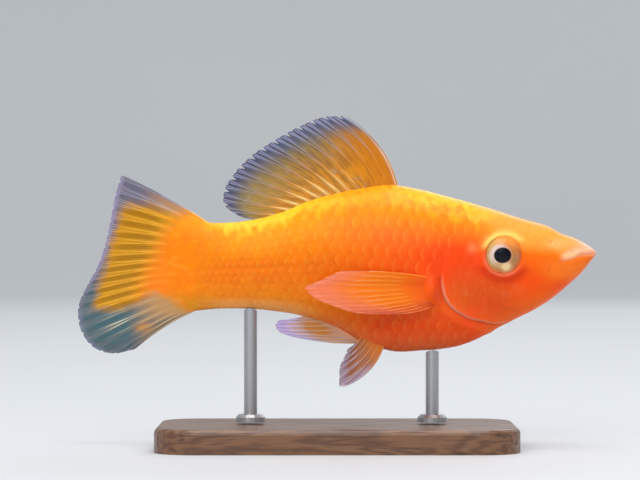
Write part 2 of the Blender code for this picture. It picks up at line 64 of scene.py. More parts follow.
# The body's outline and sections, as (s, value)
BACK_LINE = [
    (0.1, 0.12), (0.35, 0.34), (1.4, 1.1), (3.0, 1.95), (5.0, 2.65), (6.9, 3.7), (9.2, 4.4), (11.5, 5.1),
    (15.2, 6.3), (21.7, 8.15), (25.7, 9.15), (30.0, 9.8), (33.0, 9.45), (37.0, 8.7), (42.0, 7.3), (44.8, 6.1),
    (48.2, 5.05), (54.0, 4.3), (57.5, 4.5), (59.0, 5.0), (61.0, 5.6), (62.6, 5.95),
]
BELLY_LINE = [
    (0.1, -0.5), (0.35, -0.82), (2.2, -3.1), (4.0, -4.75), (6.4, -6.75), (8.9, -8.4), (11.5, -9.7),
    (14.1, -11.1), (16.2, -12.2), (18.6, -13.3), (21.3, -13.95), (25.0, -14.3), (29.5, -14.4), (33.4, -13.2),
    (37.7, -10.75), (41.7, -9.4), (47.7, -8.35), (54.0, -8.15), (57.5, -8.4), (60.0, -8.6), (62.6, -8.9),
]
HALF_WIDTH = [
    (0.1, 0.7), (0.35, 1.2), (1.0, 1.75), (3.0, 2.65), (6.0, 3.65), (9.0, 4.4), (13.0, 5.05), (18.0, 5.6),
    (23.0, 5.9), (29.0, 5.8), (35.0, 5.0), (41.0, 4.0), (47.0, 3.0), (52.0, 2.3), (55.0, 1.75), (58.0, 1.05),
    (60.0, 0.55), (61.5, 0.22), (62.6, 0.06),
]
WIDEST_AT = [(0.1, 0.5), (5.0, 0.6), (13.0, 0.62), (22.0, 0.58), (30.0, 0.55), (42.0, 0.55), (62.6, 0.5)]
BACK_ROUNDNESS = [(0.3, 2.4), (8.0, 2.6), (15.0, 2.3), (25.0, 2.0), (40.0, 1.9), (55.0, 2.1), (62.6, 2.8)]
BELLY_ROUNDNESS = [(0.3, 2.2), (10.0, 2.0), (22.0, 1.9), (32.0, 1.8), (45.0, 2.0), (55.0, 2.1), (62.6, 2.8)]
SNOUT_END, FLESH_END = 0.1, 62.6
TAIL_BASE_FROM, TAIL_BASE_ROUNDING = 53.0, 3.4

# Lines and places on the head, in the side view
EYE_AT = (13.62, -0.44)
EYE_RADIUS = 2.65
PUPIL_BACK = 0.2  # how far behind the eye's middle the pupil lies
EYE_TILT = 0.1  # how much further in the eye's front lies, per millimetre forwards
MOUTH_LINE = [
    (-0.4, -0.1), (0.9, -0.24), (2.2, -0.38), (3.0, -0.7), (3.7, -1.02), (4.7, -1.26), (6.1, -1.62),
]
UPPER_LIP_TOP = [
    (-0.3, 0.5), (1.2, 0.58), (2.7, 0.52), (3.6, 0.3), (4.5, -0.1), (5.4, -0.66), (6.0, -1.2),
]
LOWER_LIP_LOW = [(0.0, -1.15), (1.5, -1.45), (3.2, -1.85), (5.0, -2.2)]
JAW_CREASE = [(6.1, -1.2), (6.75, -1.9), (7.2, -3.0), (8.3, -4.6)]
GILL_EDGE = [
    (12.6, -10.1), (14.9, -10.35), (16.7, -10.0), (18.7, -9.5), (20.1, -8.75), (21.35, -7.75), (22.15, -6.4),
    (22.55, -4.8), (22.65, -3.0), (22.2, -1.0), (21.2, 0.9), (19.6, 2.5),
]
CHEEK_LINE = [(9.6, -7.6), (12.6, -8.3), (15.3, -7.5), (17.1, -5.6), (17.85, -3.2), (17.7, -0.8), (16.9, 1.6)]
NOSTRILS = [(6.7, 1.35, 0.4), (8.9, 2.1, 0.3)]
PECTORAL_BASE = (24.0, -5.6)
BELLY_FOLDS = [
    [(25.6, -8.2), (28.0, -8.9), (30.2, -9.1)],
    [(26.4, -9.2), (28.6, -9.8), (30.8, -9.9)],
    [(27.4, -10.2), (29.4, -10.7), (31.4, -10.6)],
]


def smooth(points):
    """A curve through (place, value) pairs, as a function of place."""
    places, values = np.array(points, float).T
    slopes = np.gradient(values, places)

    def value(place):
        place = np.clip(place, places[0], places[-1])
        i = np.clip(np.searchsorted(places, place, side="right") - 1, 0, len(places) - 2)
        width = places[i + 1] - places[i]
        u = (place - places[i]) / width
        ends = (1 + 2 * u) * (1 - u) ** 2 * values[i] + u * u * (3 - 2 * u) * values[i + 1]
        bends = u * (1 - u) ** 2 * slopes[i] + u * u * (u - 1) * slopes[i + 1]
        return ends + width * bends

    return value


def outline(points):
    """A smooth line through points in the side view, as a function of t from 0 to 1 along it."""
    corners = np.array(points, float)
    steps = np.linalg.norm(np.diff(corners, axis=0), axis=1)
    along = np.concatenate([[0.0], np.cumsum(steps)]) / steps.sum()
    s_of, h_of = (smooth(list(zip(along, corners[:, axis]))) for axis in (0, 1))
    return lambda t: np.array([s_of(t), h_of(t)])


back, belly, half_width = smooth(BACK_LINE), smooth(BELLY_LINE), smooth(HALF_WIDTH)
widest_at = smooth(WIDEST_AT)
back_roundness, belly_roundness = smooth(BACK_ROUNDNESS), smooth(BELLY_ROUNDNESS)


def rise(x, start, end):
    """0 before start, 1 past end, and a smooth step between."""
    share = np.clip((x - start) / (end - start), 0.0, 1.0)
    return share * share * (3 - 2 * share)


def near(distance, width):
    """1 at distance 0, falling away smoothly over this width."""
    return np.exp(-((distance / width) ** 2))


def in_metres(s, y, h):
    """Points of the fish's own frame as rows of x, y and z in the model's frame, with the tail's swing."""
    s, y, h = np.broadcast_arrays(s, y, h)
    swing = SWING * (np.maximum(0.0, s - SWING_FROM) / (TOTAL_LENGTH - SWING_FROM)) ** 2
    return np.stack([TOTAL_LENGTH / 2 - s, y + swing, SNOUT_HEIGHT + h], axis=-1) * MM


def section(s):
    """Height of a section's widest place at s, and how far its back and its belly reach from there."""
    middle = belly(s) + widest_at(s) * (back(s) - belly(s))
    return middle, back(s) - middle, middle - belly(s)


def flank(s, h):
    """Half width of the body at height h of the section at s."""
    middle, reach_up, reach_down = section(s)
    up = h > middle
    roundness = np.where(up, back_roundness(s), belly_roundness(s))
    share = np.clip(np.abs(h - middle) / np.where(up, reach_up, reach_down), 0.0, 1.0)
    return half_width(s) * (1 - share**roundness) ** (1 / roundness)


def measure(s, h, line):
    """Distance of points in the side view from a smooth line, and their share along it.

    The distance is positive below a line that runs back, and behind a line that runs up.
    """
    corners = outline(line)(np.linspace(0, 1, 8 * len(line))).T
    best = np.full(s.shape, np.inf)
    signed, share = np.zeros(s.shape), np.zeros(s.shape)
    for i, (a, b) in enumerate(zip(corners, corners[1:])):
        run = b - a
        to_s, to_h = s - a[0], h - a[1]
        along = np.clip((to_s * run[0] + to_h * run[1]) / (run @ run), 0.0, 1.0)
        distance = np.hypot(to_s - along * run[0], to_h - along * run[1])
        closer = distance < best
        best = np.where(closer, distance, best)
        side = np.sign(to_s * run[1] - to_h * run[0])
        signed = np.where(closer, side * distance, signed)
        share = np.where(closer, (i + along) / (len(corners) - 1), share)
    return signed, share


class Value:
    """An output of a node, on which Python's operators and these methods add more nodes."""

    def __init__(self, nodes, socket):
        self.nodes, self.socket = nodes, socket

    def other(self, name):
        """Another output of the same node."""
        return Value(self.nodes, self.socket.node.outputs[name])

    def math(self, operation, *others):
        return self.nodes.math(operation, self, *others)

    def __add__(self, other):
        return self.math("ADD", other)

    def __sub__(self, other):
        return self.math("SUBTRACT", other)

    def __mul__(self, other):
        return self.math("MULTIPLY", other)

    def __truediv__(self, other):
        return self.math("DIVIDE", other)

    def __pow__(self, other):
        return self.math("POWER", other)

    def __rsub__(self, other):
        return self.nodes.math("SUBTRACT", other, self)

    __radd__ = __add__

    def rise(self, start, end):
        """0 at start, 1 at end, and a smooth step between."""
        if start > end:
            return 1 - self.rise(end, start)
        settings = {"interpolation_type": "SMOOTHSTEP", "clamp": True}
        return self.nodes.node("ShaderNodeMapRange", settings, {0: self, 1: start, 2: end})

    def near(self, centre, width):
        """1 at the centre, falling away over this width on both sides."""
        share = (self - centre) / width
        return (share * share * -1.0).math("EXPONENT")


def spot(s, h, centre, radii):
    """1 at a centre, falling away over an ellipse, for two Values."""
    across, up = (s - centre[0]) / radii[0], (h - centre[1]) / radii[1]
    return ((across * across + up * up) * -1.0).math("EXPONENT")


def off_centre(across, up):
    """Distance from a centre, for two Values that run from it."""
    return (across * across + up * up).math("SQRT")


class Nodes:
    """Adds nodes to a node tree."""

    def __init__(self, tree):
        self.tree = tree

    def node(self, kind, settings=None, sockets=None, output=0):
        """Adds a node with these settings, then values or links of its sockets, and returns one output."""
        made = self.tree.nodes.new(kind)
        for name, value in (settings or {}).items():
            setattr(made, name, value)
        for name, value in (sockets or {}).items():
            if isinstance(value, Value):
                self.tree.links.new(value.socket, made.inputs[name])
            else:
                made.inputs[name].default_value = value
        return Value(self, made.outputs[output]) if len(made.outputs) else made

    def math(self, operation, *values):
        return self.node("ShaderNodeMath", {"operation": operation}, dict(enumerate(values)))

    def vector_math(self, operation, sockets):
        return self.node("ShaderNodeVectorMath", {"operation": operation}, sockets)

    def vector(self, x, y, z=0.0):
        return self.node("ShaderNodeCombineXYZ", {}, {0: x, 1: y, 2: z})

    def parts(self, vector):
        """The vector's X, which leads to its other parts."""
        return self.node("ShaderNodeSeparateXYZ", {}, {0: vector}, output="X")


class Finish(Nodes):
    """A material under construction, with a Principled shader."""

    def __init__(self, name, **constants):
        self.material = bpy.data.materials.new(name)
        self.material.use_nodes = True
        super().__init__(self.material.node_tree)
        self.tree.nodes.clear()
        self.shader = self.tree.nodes.new("ShaderNodeBsdfPrincipled")
        result = self.tree.nodes.new("ShaderNodeOutputMaterial")
        self.tree.links.new(self.shader.outputs["BSDF"], result.inputs["Surface"])
        self.place = self.node("ShaderNodeTexCoord", output="Object")
        for name, value in constants.items():
            self.shader.inputs[name.replace("_", " ")].default_value = value

    def made(self, **values):
        """Feeds the shader's sockets and returns the material."""
        for name, value in values.items():
            self.tree.links.new(value.socket, self.shader.inputs[name.replace("_", " ")])
        return self.material

    def mix(self, share, below, above, blend="MIX"):
        """One colour laid over another by this share."""
        below, above = (c if isinstance(c, Value) else (*c, 1.0) for c in (below, above))
        settings = {"data_type": "RGBA", "blend_type": blend, "clamp_factor": True}
        return self.node("ShaderNodeMix", settings, {0: share, 6: below, 7: above}, output=2)

    def layers(self, colour, *layers):
        """A colour with others laid over it in turn, each by its own share."""
        for share, above in layers:
            colour = self.mix(share, colour, above)
        return colour

    def attribute(self, name):
        return self.node("ShaderNodeAttribute", {"attribute_name": name}, output="Fac")

    def noise(self, size, detail=2.0, place=None, stretch=(1.0, 1.0, 1.0)):
        """Noise from 0 to 1 with features of about this size in metres."""
        at = self.vector_math("MULTIPLY", {0: place or self.place, 1: stretch})
        return self.node("ShaderNodeTexNoise", {}, {"Vector": at, "Scale": 1 / size, "Detail": detail})

    def side_view(self):
        """s and h of the surface, in millimetres."""
        x = self.parts(self.place)
        return TOTAL_LENGTH / 2 - x / MM, x.other("Z") / MM - SNOUT_HEIGHT

    def bump(self, height, depth):
        """A normal from a height, which is 1 at this depth in metres."""
        return self.node("ShaderNodeBump", {}, {"Height": height, "Distance": depth, "Strength": 1.0})


def paint(red, green, blue):
    """A screen colour, 0 to 255, as linear light."""
    shares = (red / 255, green / 255, blue / 255)
    return tuple(c / 12.92 if c <= 0.04045 else ((c + 0.055) / 1.055) ** 2.4 for c in shares)


def link(name, data):
    """A shown object of this mesh, light or camera."""
    piece = bpy.data.objects.new(name, data)
    bpy.context.scene.collection.objects.link(piece)
    return piece


def new_piece(name, vertices, faces, material):
    """A shown mesh object from points in metres."""
    mesh = bpy.data.meshes.new(name)
    mesh.from_pydata(vertices, [], faces)
    mesh.materials.append(material)
    return link(name, mesh)


def shade(mesh, sharp_angle):
    """Smooth shading, with edges kept sharp past this angle in degrees."""
    mesh.shade_smooth()
    mesh.set_sharp_from_angle(angle=math.radians(sharp_angle))


def store(mesh, name, values):
    """Keeps one number for each point of a mesh."""
    attribute = mesh.attributes.new(name, "FLOAT", "POINT")
    attribute.data.foreach_set("value", np.ascontiguousarray(values, dtype=np.float32).ravel())


def ring_faces(rings, count):
    """Four-sided faces between rings of this many points."""
    return [
        (i * count + k, (i + 1) * count + k, (i + 1) * count + (k + 1) % count, i * count + (k + 1) % count)
        for i in range(rings - 1)
        for k in range(count)
    ]


def unit(vectors):
    """A grid of vectors, each made one long."""
    return vectors / np.maximum(np.linalg.norm(vectors, axis=2), 1e-12)[:, :, None]


def settle(piece, slot, *nodes):
    """Makes a piece ride on the model and stand for these nodes of the frame."""
    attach(piece, "root")
    if nodes:
        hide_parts(*nodes)


class GeometryTree(Nodes):
    """A Geometry Nodes tree under construction, with named inputs as (label, kind, default)."""

    def __init__(self, name, inputs):
        tree = bpy.data.node_groups.new(name, "GeometryNodeTree")
        for label, kind, default in (("Geometry", "Geometry", None), *inputs):
            socket = tree.interface.new_socket(label, in_out="INPUT", socket_type=f"NodeSocket{kind}")
            if default is not None:
                socket.default_value = default
        tree.interface.new_socket("Geometry", in_out="OUTPUT", socket_type="NodeSocketGeometry")
        super().__init__(tree)
        self.given = self.node("NodeGroupInput", output="Geometry")

    def named(self, name, kind="FLOAT"):
        """Reads an attribute of the geometry."""
        return self.node("GeometryNodeInputNamedAttribute", {"data_type": kind}, {"Name": name})

    def keep(self, geometry, name, value, kind="FLOAT", domain="POINT"):
        """Writes an attribute of the geometry."""
        sockets = {"Geometry": geometry, "Name": name, "Value": value}
        return self.node("GeometryNodeStoreNamedAttribute", {"data_type": kind, "domain": domain}, sockets)

    def end(self, geometry):
        """Ends the tree in plain geometry with its material."""
        real = self.node("GeometryNodeRealizeInstances", {}, {"Geometry": geometry})
        sockets = {"Geometry": real, "Material": self.given.other("Material")}
        dressed = self.node("GeometryNodeSetMaterial", {}, sockets)
        self.node("NodeGroupOutput", {}, {0: dressed})
        return self.tree


def grow(piece, tree, inputs):
    """Runs a Geometry Nodes tree on a piece and keeps what it makes as the piece's plain mesh."""
    modifier = piece.modifiers.new(tree.name, "NODES")
    modifier.node_group = tree
    for item in tree.interface.items_tree:
        if item.name in inputs:
            modifier[item.identifier] = inputs[item.name]
    graph = bpy.context.evaluated_depsgraph_get()
    made = bpy.data.meshes.new_from_object(piece.evaluated_get(graph))
    piece.modifiers.clear()
    piece.data = made


# Sizes and colours that a user would change


def colour_setting(name, description, *screen_colour):
    return bpy.props.FloatVectorProperty(
        name=name, description=description, subtype="COLOR", default=paint(*screen_colour)
    )


def length_setting(name, description, default):
    return bpy.props.FloatProperty(name=name, description=description, subtype="DISTANCE", default=default)


def count_setting(name, description, default, **limits):
    return bpy.props.IntProperty(name=name, description=description, default=default, **limits)


class BodyLook(bpy.types.PropertyGroup):
    """Colours of the skin and the scales, and the fineness of the skin."""

    flank: colour_setting("Flank", "Orange of the sides", 255, 114, 6)
    amber: colour_setting("Amber", "Amber of the upper sides and the stalk", 255, 150, 2)
    # The yellow along the back is partly the fish's own colour and partly a painted highlight of the light
    # from above.
    yellow: colour_setting("Yellow", "Yellow along the back", 255, 212, 40)
    red: colour_setting("Red", "Red-orange of the cheek and shoulder", 255, 68, 14)
    rust: colour_setting("Rust", "Darker red-orange of the belly", 254, 80, 30)
    peach: colour_setting("Peach", "Pale pink of the lips and the gill cover's edge", 254, 184, 146)
    rings: count_setting("Rings", "Rings of the skin along the fish", 320, min=80, max=400)
    around: count_setting("Around", "Points in each ring of the skin", 264, min=80, max=320)


class ScaleSizes(bpy.types.PropertyGroup):
    """Sizes of the scales."""

    pitch: length_setting("Pitch", "From scale to scale along a row at the shoulder", 0.00148)
    rows: count_setting("Rows", "Rows of scales round the body, an even number", 26)
    lift: length_setting("Lift", "Height of a scale's free edge over the skin", 0.000085)
    seed: count_setting("Seed", "Seed of the scales' small differences", 7)


class EyeSizes(bpy.types.PropertyGroup):
    """Sizes of the eyes."""

    pupil: length_setting("Pupil", "Radius of the pupil", 0.00112)


class FinSizes(bpy.types.PropertyGroup):
    """Sizes of the fins."""

    membrane: length_setting("Membrane", "Thickness of a fin between its rays", 0.00008)
    ray: length_setting("Ray", "Radius of a ray at its root", 0.00015)


class StageSizes(bpy.types.PropertyGroup):
    """The floor and the camera."""

    floor_radius: length_setting("Floor radius", "Where the floor starts to curve up", 1.2)
    camera_distance: length_setting("Camera distance", "From the camera to the fish", 0.45)


# Skin


def skin_stations(count):
    """Places of the skin's rings, closer together on the head than behind it."""
    head_end, head_share = 24.0, 0.66
    head = np.linspace(SNOUT_END, head_end, int(count * head_share), endpoint=False)
    return np.concatenate([head, np.linspace(head_end, FLESH_END, count - len(head))])


def bare_body(stations, count):
    """s, y and h of the body's plain surface: one row for each ring, from the middle of the belly round."""
    s = stations[:, None]
    angle = TURN * np.arange(count) / count - math.pi / 2
    across, up = np.cos(angle)[None, :], np.sin(angle)[None, :]
    middle, reach_up, reach_down = section(s)
    power = 2 / np.where(up > 0, back_roundness(s), belly_roundness(s))
    y = half_width(s) * np.sign(across) * np.abs(across) ** power
    h = middle + np.where(up > 0, reach_up, reach_down) * np.sign(up) * np.abs(up) ** power
    end_share = np.clip((s - TAIL_BASE_FROM) / (FLESH_END - TAIL_BASE_FROM), 0.0, 1.0)
    return s - TAIL_BASE_ROUNDING * end_share**2 * up * up, y, h


def dome(s, y, h, bulge):
    """Small rings that round off one end of the body, from its tip to its last full ring."""
    shares = np.array([0.12, 0.35, 0.55, 0.72, 0.86, 0.95])[:, None]
    middle_s, middle_h = s.mean(), h.mean()
    dome_s = middle_s + shares * (s - middle_s) + bulge * np.sqrt(1 - shares**2)
    return dome_s, shares * y, middle_h + shares * (h - middle_h)


def closed_body(stations, count):
    """The bare body with a dome at the snout and at the end of the tail's flesh."""
    body = bare_body(stations, count)
    snout, tail = (dome(*(part[row] for part in body), bulge) for row, bulge in ((0, -0.12), (-1, 0.25)))
    return [np.vstack([first, part, last[::-1]]) for first, part, last in zip(snout, body, tail)]


def head_forms(s, y, h):
    """How far the skin stands out or in on the head, in millimetres, and its marks.

    The marks are "scaled", how far the scales are raised, "pale" for the lips and the gill cover's edge, and
    "crease" for painted shade in the bottoms of the folds and in the eye's socket.
    """
    mouth, mouth_share = measure(s, h, MOUTH_LINE)
    lip_top, lip_share = measure(s, h, UPPER_LIP_TOP)
    lip_low, lip_low_share = measure(s, h, LOWER_LIP_LOW)
    jaw, jaw_share = measure(s, h, JAW_CREASE)
    gill, gill_share = measure(s, h, GILL_EDGE)
    plate, plate_share = measure(s, h, CHEEK_LINE)
    eye = np.hypot(s - EYE_AT[0], h - EYE_AT[1])
    eye_turn = np.degrees(np.arctan2(h - EYE_AT[1], s - EYE_AT[0]))

    off_tip = rise(s, -0.1, 1.3)
    slit = near(mouth, 0.14) * rise(mouth_share, 1.0, 0.8)
    upper_lip = near(mouth + 0.42, 0.3) * rise(mouth_share, 1.0, 0.85) * off_tip
    lower_lip = near(mouth - 0.42, 0.3) * rise(mouth_share, 1.0, 0.8) * off_tip
    lip_groove = near(lip_top, 0.13) * rise(lip_share, 1.0, 0.8)
    chin_groove = near(lip_low, 0.2) * rise(lip_low_share, 1.0, 0.7)
    jaw_fold = near(jaw, 0.22) * rise(jaw_share, 0.0, 0.2) * rise(jaw_share, 1.0, 0.5)
    form = 0.12 * upper_lip + 0.02 * lower_lip - 0.12 * slit - 0.02 * lip_groove - 0.03 * chin_groove
    form -= 0.05 * jaw_fold

    for nostril_s, nostril_h, radius in NOSTRILS:
        away = np.hypot(s - nostril_s, h - nostril_h)
        form += 0.04 * near(away - radius, 0.25) - 0.16 * near(away, radius * 0.6)

    socket = rise(eye, EYE_RADIUS + 0.02, EYE_RADIUS - 0.4)
    rim = near(eye - EYE_RADIUS - 0.2, 0.17)
    over_eye = np.hypot(s - EYE_AT[0] + 0.2, h - EYE_AT[1] + 0.1)
    brow = near(over_eye - EYE_RADIUS - 0.65, 0.45) * rise(np.abs(eye_turn - 80), 75, 30)
    bag = near(eye - EYE_RADIUS - 1.15, 0.25) * rise(np.abs(eye_turn + 90), 85, 50)
    form += 0.09 * rim + 0.11 * brow - 0.06 * bag - 1.3 * socket

    covered = rise(gill_share, 0.0, 0.12) * rise(gill_share, 0.92, 0.55)
    lifted = np.where(gill < 0, 0.26 * near(gill, 2.0), 0.0)
    sunk = np.where(gill > 0, 0.26 * near(gill, 0.75), 0.0)
    collar = near(gill - 1.3, 0.35) * covered
    form += covered * (lifted * rise(gill, 0.0, -0.22) - sunk - 0.12 * near(gill - 0.1, 0.12))
    form += 0.07 * collar
    ridge = rise(plate_share, 0.0, 0.25) * rise(plate_share, 0.8, 0.5)
    form += ridge * (0.05 * near(plate + 0.45, 0.4) - 0.06 * near(plate, 0.25))

    base = np.hypot((s - PECTORAL_BASE[0]) / 1.5, (h - PECTORAL_BASE[1]) / 2.3)
    folds = sum(near(measure(s, h, line)[0], 0.16) for line in BELLY_FOLDS)
    throat = near(y, 0.5) * rise(s, 6.0, 9.0) * rise(s, 20.0, 17.0) * rise(h, -5.0, -7.0)
    keel = near(y, 0.7) * rise(s, 31.0, 33.0) * rise(s, 59.0, 52.0) * rise(h, -5.0, -7.0)
    midline = near(h + 2.1 + 0.02 * (s - 40), 0.35) * rise(s, 36.0, 44.0) * rise(s, 59.0, 55.0)
    form = form + 0.85 * near(base, 0.85) - 0.07 * folds - 0.22 * throat + 0.12 * keel - 0.05 * midline

    cheek = rise(s, 24.0, 22.0) * rise(gill, 0.15, -0.15)
    scaled = 1 - 0.55 * cheek
    scaled *= rise(s - 0.35 * np.maximum(0.0, -h), 8.6, 11.5)
    scaled *= rise(eye, EYE_RADIUS + 0.7, EYE_RADIUS + 1.6)
    clear_of_edge = np.where(gill < 0, rise(-gill, 0.4, 1.3), rise(gill, 0.9, 1.7))
    scaled *= 1 - (1 - clear_of_edge) * covered
    scaled *= 1 - near(base, 0.9)
    scaled *= 1 - rise(h, -10.2, -10.8) * rise(s, 19.0, 17.0)
    scaled *= rise(s, 61.0, 53.5)

    gill_rim = rise(gill_share, 0.0, 0.12) * rise(gill_share, 0.72, 0.52)
    gill_rim *= rise(gill, -0.46, -0.15) * rise(gill, 0.12, 0.0)
    lip = rise(mouth, 0.08, -0.12) * rise(lip_top, -0.5, 0.2) * rise(mouth_share, 1.0, 0.75)
    lip *= rise(s, 6.2, 4.5)
    lower_rim = rim * rise(np.abs(eye_turn + 70), 90, 40)
    pale = np.maximum.reduce([0.68 * gill_rim, 0.85 * lip, 0.3 * lower_rim])
    gill_gap = near(gill - 0.12, 0.14) * covered
    cheek_gap = near(plate, 0.25) * ridge
    # crease: painted shade in the mouth's slit, the folds and grooves, the throat and the eye's socket.
    crease = np.maximum.reduce([
        0.3 * slit, 0.1 * jaw_fold, 0.7 * gill_gap, 0.15 * cheek_gap, 0.5 * throat, 0.3 * folds, socket,
    ])
    return form, {"scaled": scaled, "pale": pale, "crease": crease}


def tail_wedge(finish):
    """1 in the greyish wedge at the tail's lower edge, under its fleshy base, and 0 above it."""
    s, h = finish.side_view()
    soft = (finish.noise(0.0016, 3.0) - 0.5) * 1.6
    fall = ((s - 64.0).math("ABSOLUTE") * 0.58).math("MINIMUM", 2.7)
    return (h + fall + soft).rise(-4.9, -6.7)


def tail_base_colour(finish):
    """Orange of the tail's fleshy base, where the body's skin runs out over the fin."""
    s, h = finish.side_view()
    mottle = finish.noise(0.0013, 3.0).rise(0.42, 0.68)
    streaks = finish.noise(0.0007, stretch=(0.25, 1.0, 1.0)).rise(0.5, 0.7)
    return finish.layers(
        paint(255, 132, 2),
        (h.rise(1.0, 4.6), paint(250, 148, 8)),
        (h.rise(-4.6, -8.0), paint(216, 136, 24)),
        (mottle * 0.3, paint(250, 108, 30)),
        (streaks * 0.22, paint(255, 178, 62)),
        (tail_wedge(finish) * s.rise(56.5, 60.5) * 0.85, paint(184, 148, 104)),
    )


def body_colour(finish, look):
    """The markings of skin and scales alike, with painted highlights and shade among them, each laid over the
    one before.
    """
    s, h = finish.side_view()
    up = finish.attribute("flank")
    soft = finish.noise(0.006, 3.0) - 0.5
    fingers = (finish.noise(0.0014, stretch=(1.0, 1.0, 0.4)) - 0.5) * s.rise(9.0, 14.0)
    s_soft, up_soft = s + soft * 5.0, up + soft * 0.12 + fingers * 0.34

    high = (up_soft - spot(s, h, (33.0, 3.0), (7.0, 5.0)) * 0.14).rise(0.52, 0.88)
    stalk = s_soft.rise(32.0, 46.0)
    # The yellow top edge of the tail stalk, partly its own colour and partly a painted highlight of the light
    # from above.
    stalk_top_yellow_and_highlight = up_soft.rise(0.8, 0.96) * s.near(50.0, 6.0)
    # rim: the yellow top of the back, partly its own colour and partly a painted highlight of the light from
    # above.
    rim = up_soft.rise(0.84, 0.99) * s.rise(7.0, 16.0) * (0.8 - s.near(33.5, 6.5) * 0.62)
    gill_cover = spot(s, h + soft * 2.0, (16.0, -6.6), (6.4, 3.8))
    low = up_soft.rise(0.42, 0.12) * s_soft.rise(13.0, 19.0) * s_soft.rise(37.0, 31.0)
    # Painted light: the belly's thin lower edge is made paler, as if lit through.
    keel = up.rise(0.16, 0.0) * s.rise(17.0, 23.0) * s.rise(42.0, 37.0)
    low_rim = up.rise(0.16, 0.02) * s.rise(38.0, 45.0)
    crown = up_soft.rise(0.6, 0.78) * s_soft.rise(19.0, 12.0)
    snout = s.rise(5.5, 0.5) * h.rise(-0.9, -0.15)
    snout_top = s.rise(3.2, 0.8) * (h + s * -0.55).rise(-0.5, 0.1)
    chin = s_soft.rise(9.0, 5.0) * h.rise(-0.7, -1.7)
    chin_colour = finish.mix(h.rise(-3.0, -5.0), paint(255, 124, 34), paint(252, 74, 6))

    eye_s, eye_h = EYE_AT
    from_eye = off_centre(s - eye_s, h - eye_h)
    lid = from_eye.near(EYE_RADIUS + 0.3, 0.35) * h.rise(eye_h + 0.4, eye_h + 1.8)
    # Painted shade below the eye, under the bulge of its socket.
    painted_shade_under_eye = from_eye.near(EYE_RADIUS + 0.9, 0.8) * h.rise(eye_h - 1.0, eye_h - 2.4)
    over_eye = off_centre(s - eye_s + 0.2, h - eye_h + 0.12).near(EYE_RADIUS + 0.55, 0.42)
    crescent = over_eye * (h + (s - eye_s) * 0.17).rise(eye_h + 1.0, eye_h + 2.2)

    mottle = finish.noise(0.0016).rise(0.5, 0.72) * spot(s, h, (16.2, -5.8), (4.4, 3.8))
    freckles = finish.noise(0.0009, 4.0).rise(0.45, 0.75)
    # Colour of the painted highlights on the head, behind the eye and by the nostril.
    painted_highlight = paint(255, 196, 132)
    # Painted shadow in the hollow between the gill cover's edge and the pectoral fin's root.
    painted_shade_behind_gill = spot(s, h, (23.2, -5.2), (0.9, 2.6))
    return finish.layers(
        look.flank,
        (high, look.amber),
        (stalk * up_soft.rise(0.3, 0.8) * 0.75, look.amber),
        # Yellow top of the back, partly a painted highlight.
        (rim, look.yellow),
        (stalk * up_soft.rise(0.5, 0.1) * 0.65, paint(255, 152, 24)),
        (stalk_top_yellow_and_highlight * 0.85, paint(255, 214, 54)),
        (spot(s_soft, h, (21.0, -1.6), (9.0, 4.6)) * 1.2, look.red),
        (gill_cover * 1.1, paint(234, 82, 24)),
        (low * 0.95, look.rust),
        # Painted light through the belly's lower edge.
        (keel * 0.7, paint(255, 128, 76)),
        (low_rim * 0.8, paint(255, 178, 104)),
        (crown * 0.85, paint(255, 164, 64)),
        (snout * 0.75, look.peach),
        (spot(s, h, (9.8, -4.4), (3.6, 2.2)) * 0.75, paint(255, 70, 2)),
        (chin * 0.8, chin_colour),
        (lid * 0.6, paint(244, 146, 58)),
        (crescent * 0.82, paint(255, 216, 110)),
        (spot(s, h, (18.15, 0.58), (0.7, 0.7)) * 0.26, painted_highlight),
        (spot(s, h, (5.9, 1.15), (1.4, 0.75)) * 0.5, painted_highlight),
        (painted_shade_under_eye * 0.7, paint(206, 36, 8)),
        (painted_shade_behind_gill * 0.6, paint(214, 58, 24)),
        (snout_top * 0.5, paint(246, 214, 214)),
        (mottle * 0.35, paint(246, 146, 92)),
        # Painted shade in the bottoms of the creases and folds.
        (finish.attribute("crease") * 0.6, paint(186, 52, 18)),
        (finish.attribute("pale"), look.peach),
        (spot(s, h, (3.9, -0.35), (1.1, 0.5)) * 0.6, paint(255, 208, 140)),
        (freckles * 0.12, paint(222, 70, 6)),
        (s_soft.rise(52.0, 59.0), tail_base_colour(finish)),
    )


def fleshy(name, **constants):
    """A wet finish through which a little light spreads, with a warm gloss."""
    return Finish(
        name, Subsurface_Radius=(1.0, 0.3, 0.1), Specular_IOR_Level=0.25, Specular_Tint=(1.0, 0.62, 0.3, 1.0),
        **constants,
    )


def skin_finish(look):
    finish = fleshy(
        "wet_orange_skin", Subsurface_Weight=0.15, Subsurface_Scale=0.0008,
        Coat_Roughness=0.15, Coat_IOR=1.33,
    )
    grain = finish.noise(0.00035, 3.0)
    return finish.made(
        Base_Color=body_colour(finish, look),
        Roughness=0.36 + grain * 0.22,
        Coat_Weight=0.06 + finish.noise(0.002) * 0.22,
        Normal=finish.bump(grain * 0.6 + finish.noise(0.0012), 0.00004),
    )


def map_share(s):
    """Where a station lies along the skin's map, from 0 to 1 over the body."""
    return 0.03 + 0.94 * (s - SNOUT_END) / (FLESH_END - SNOUT_END)


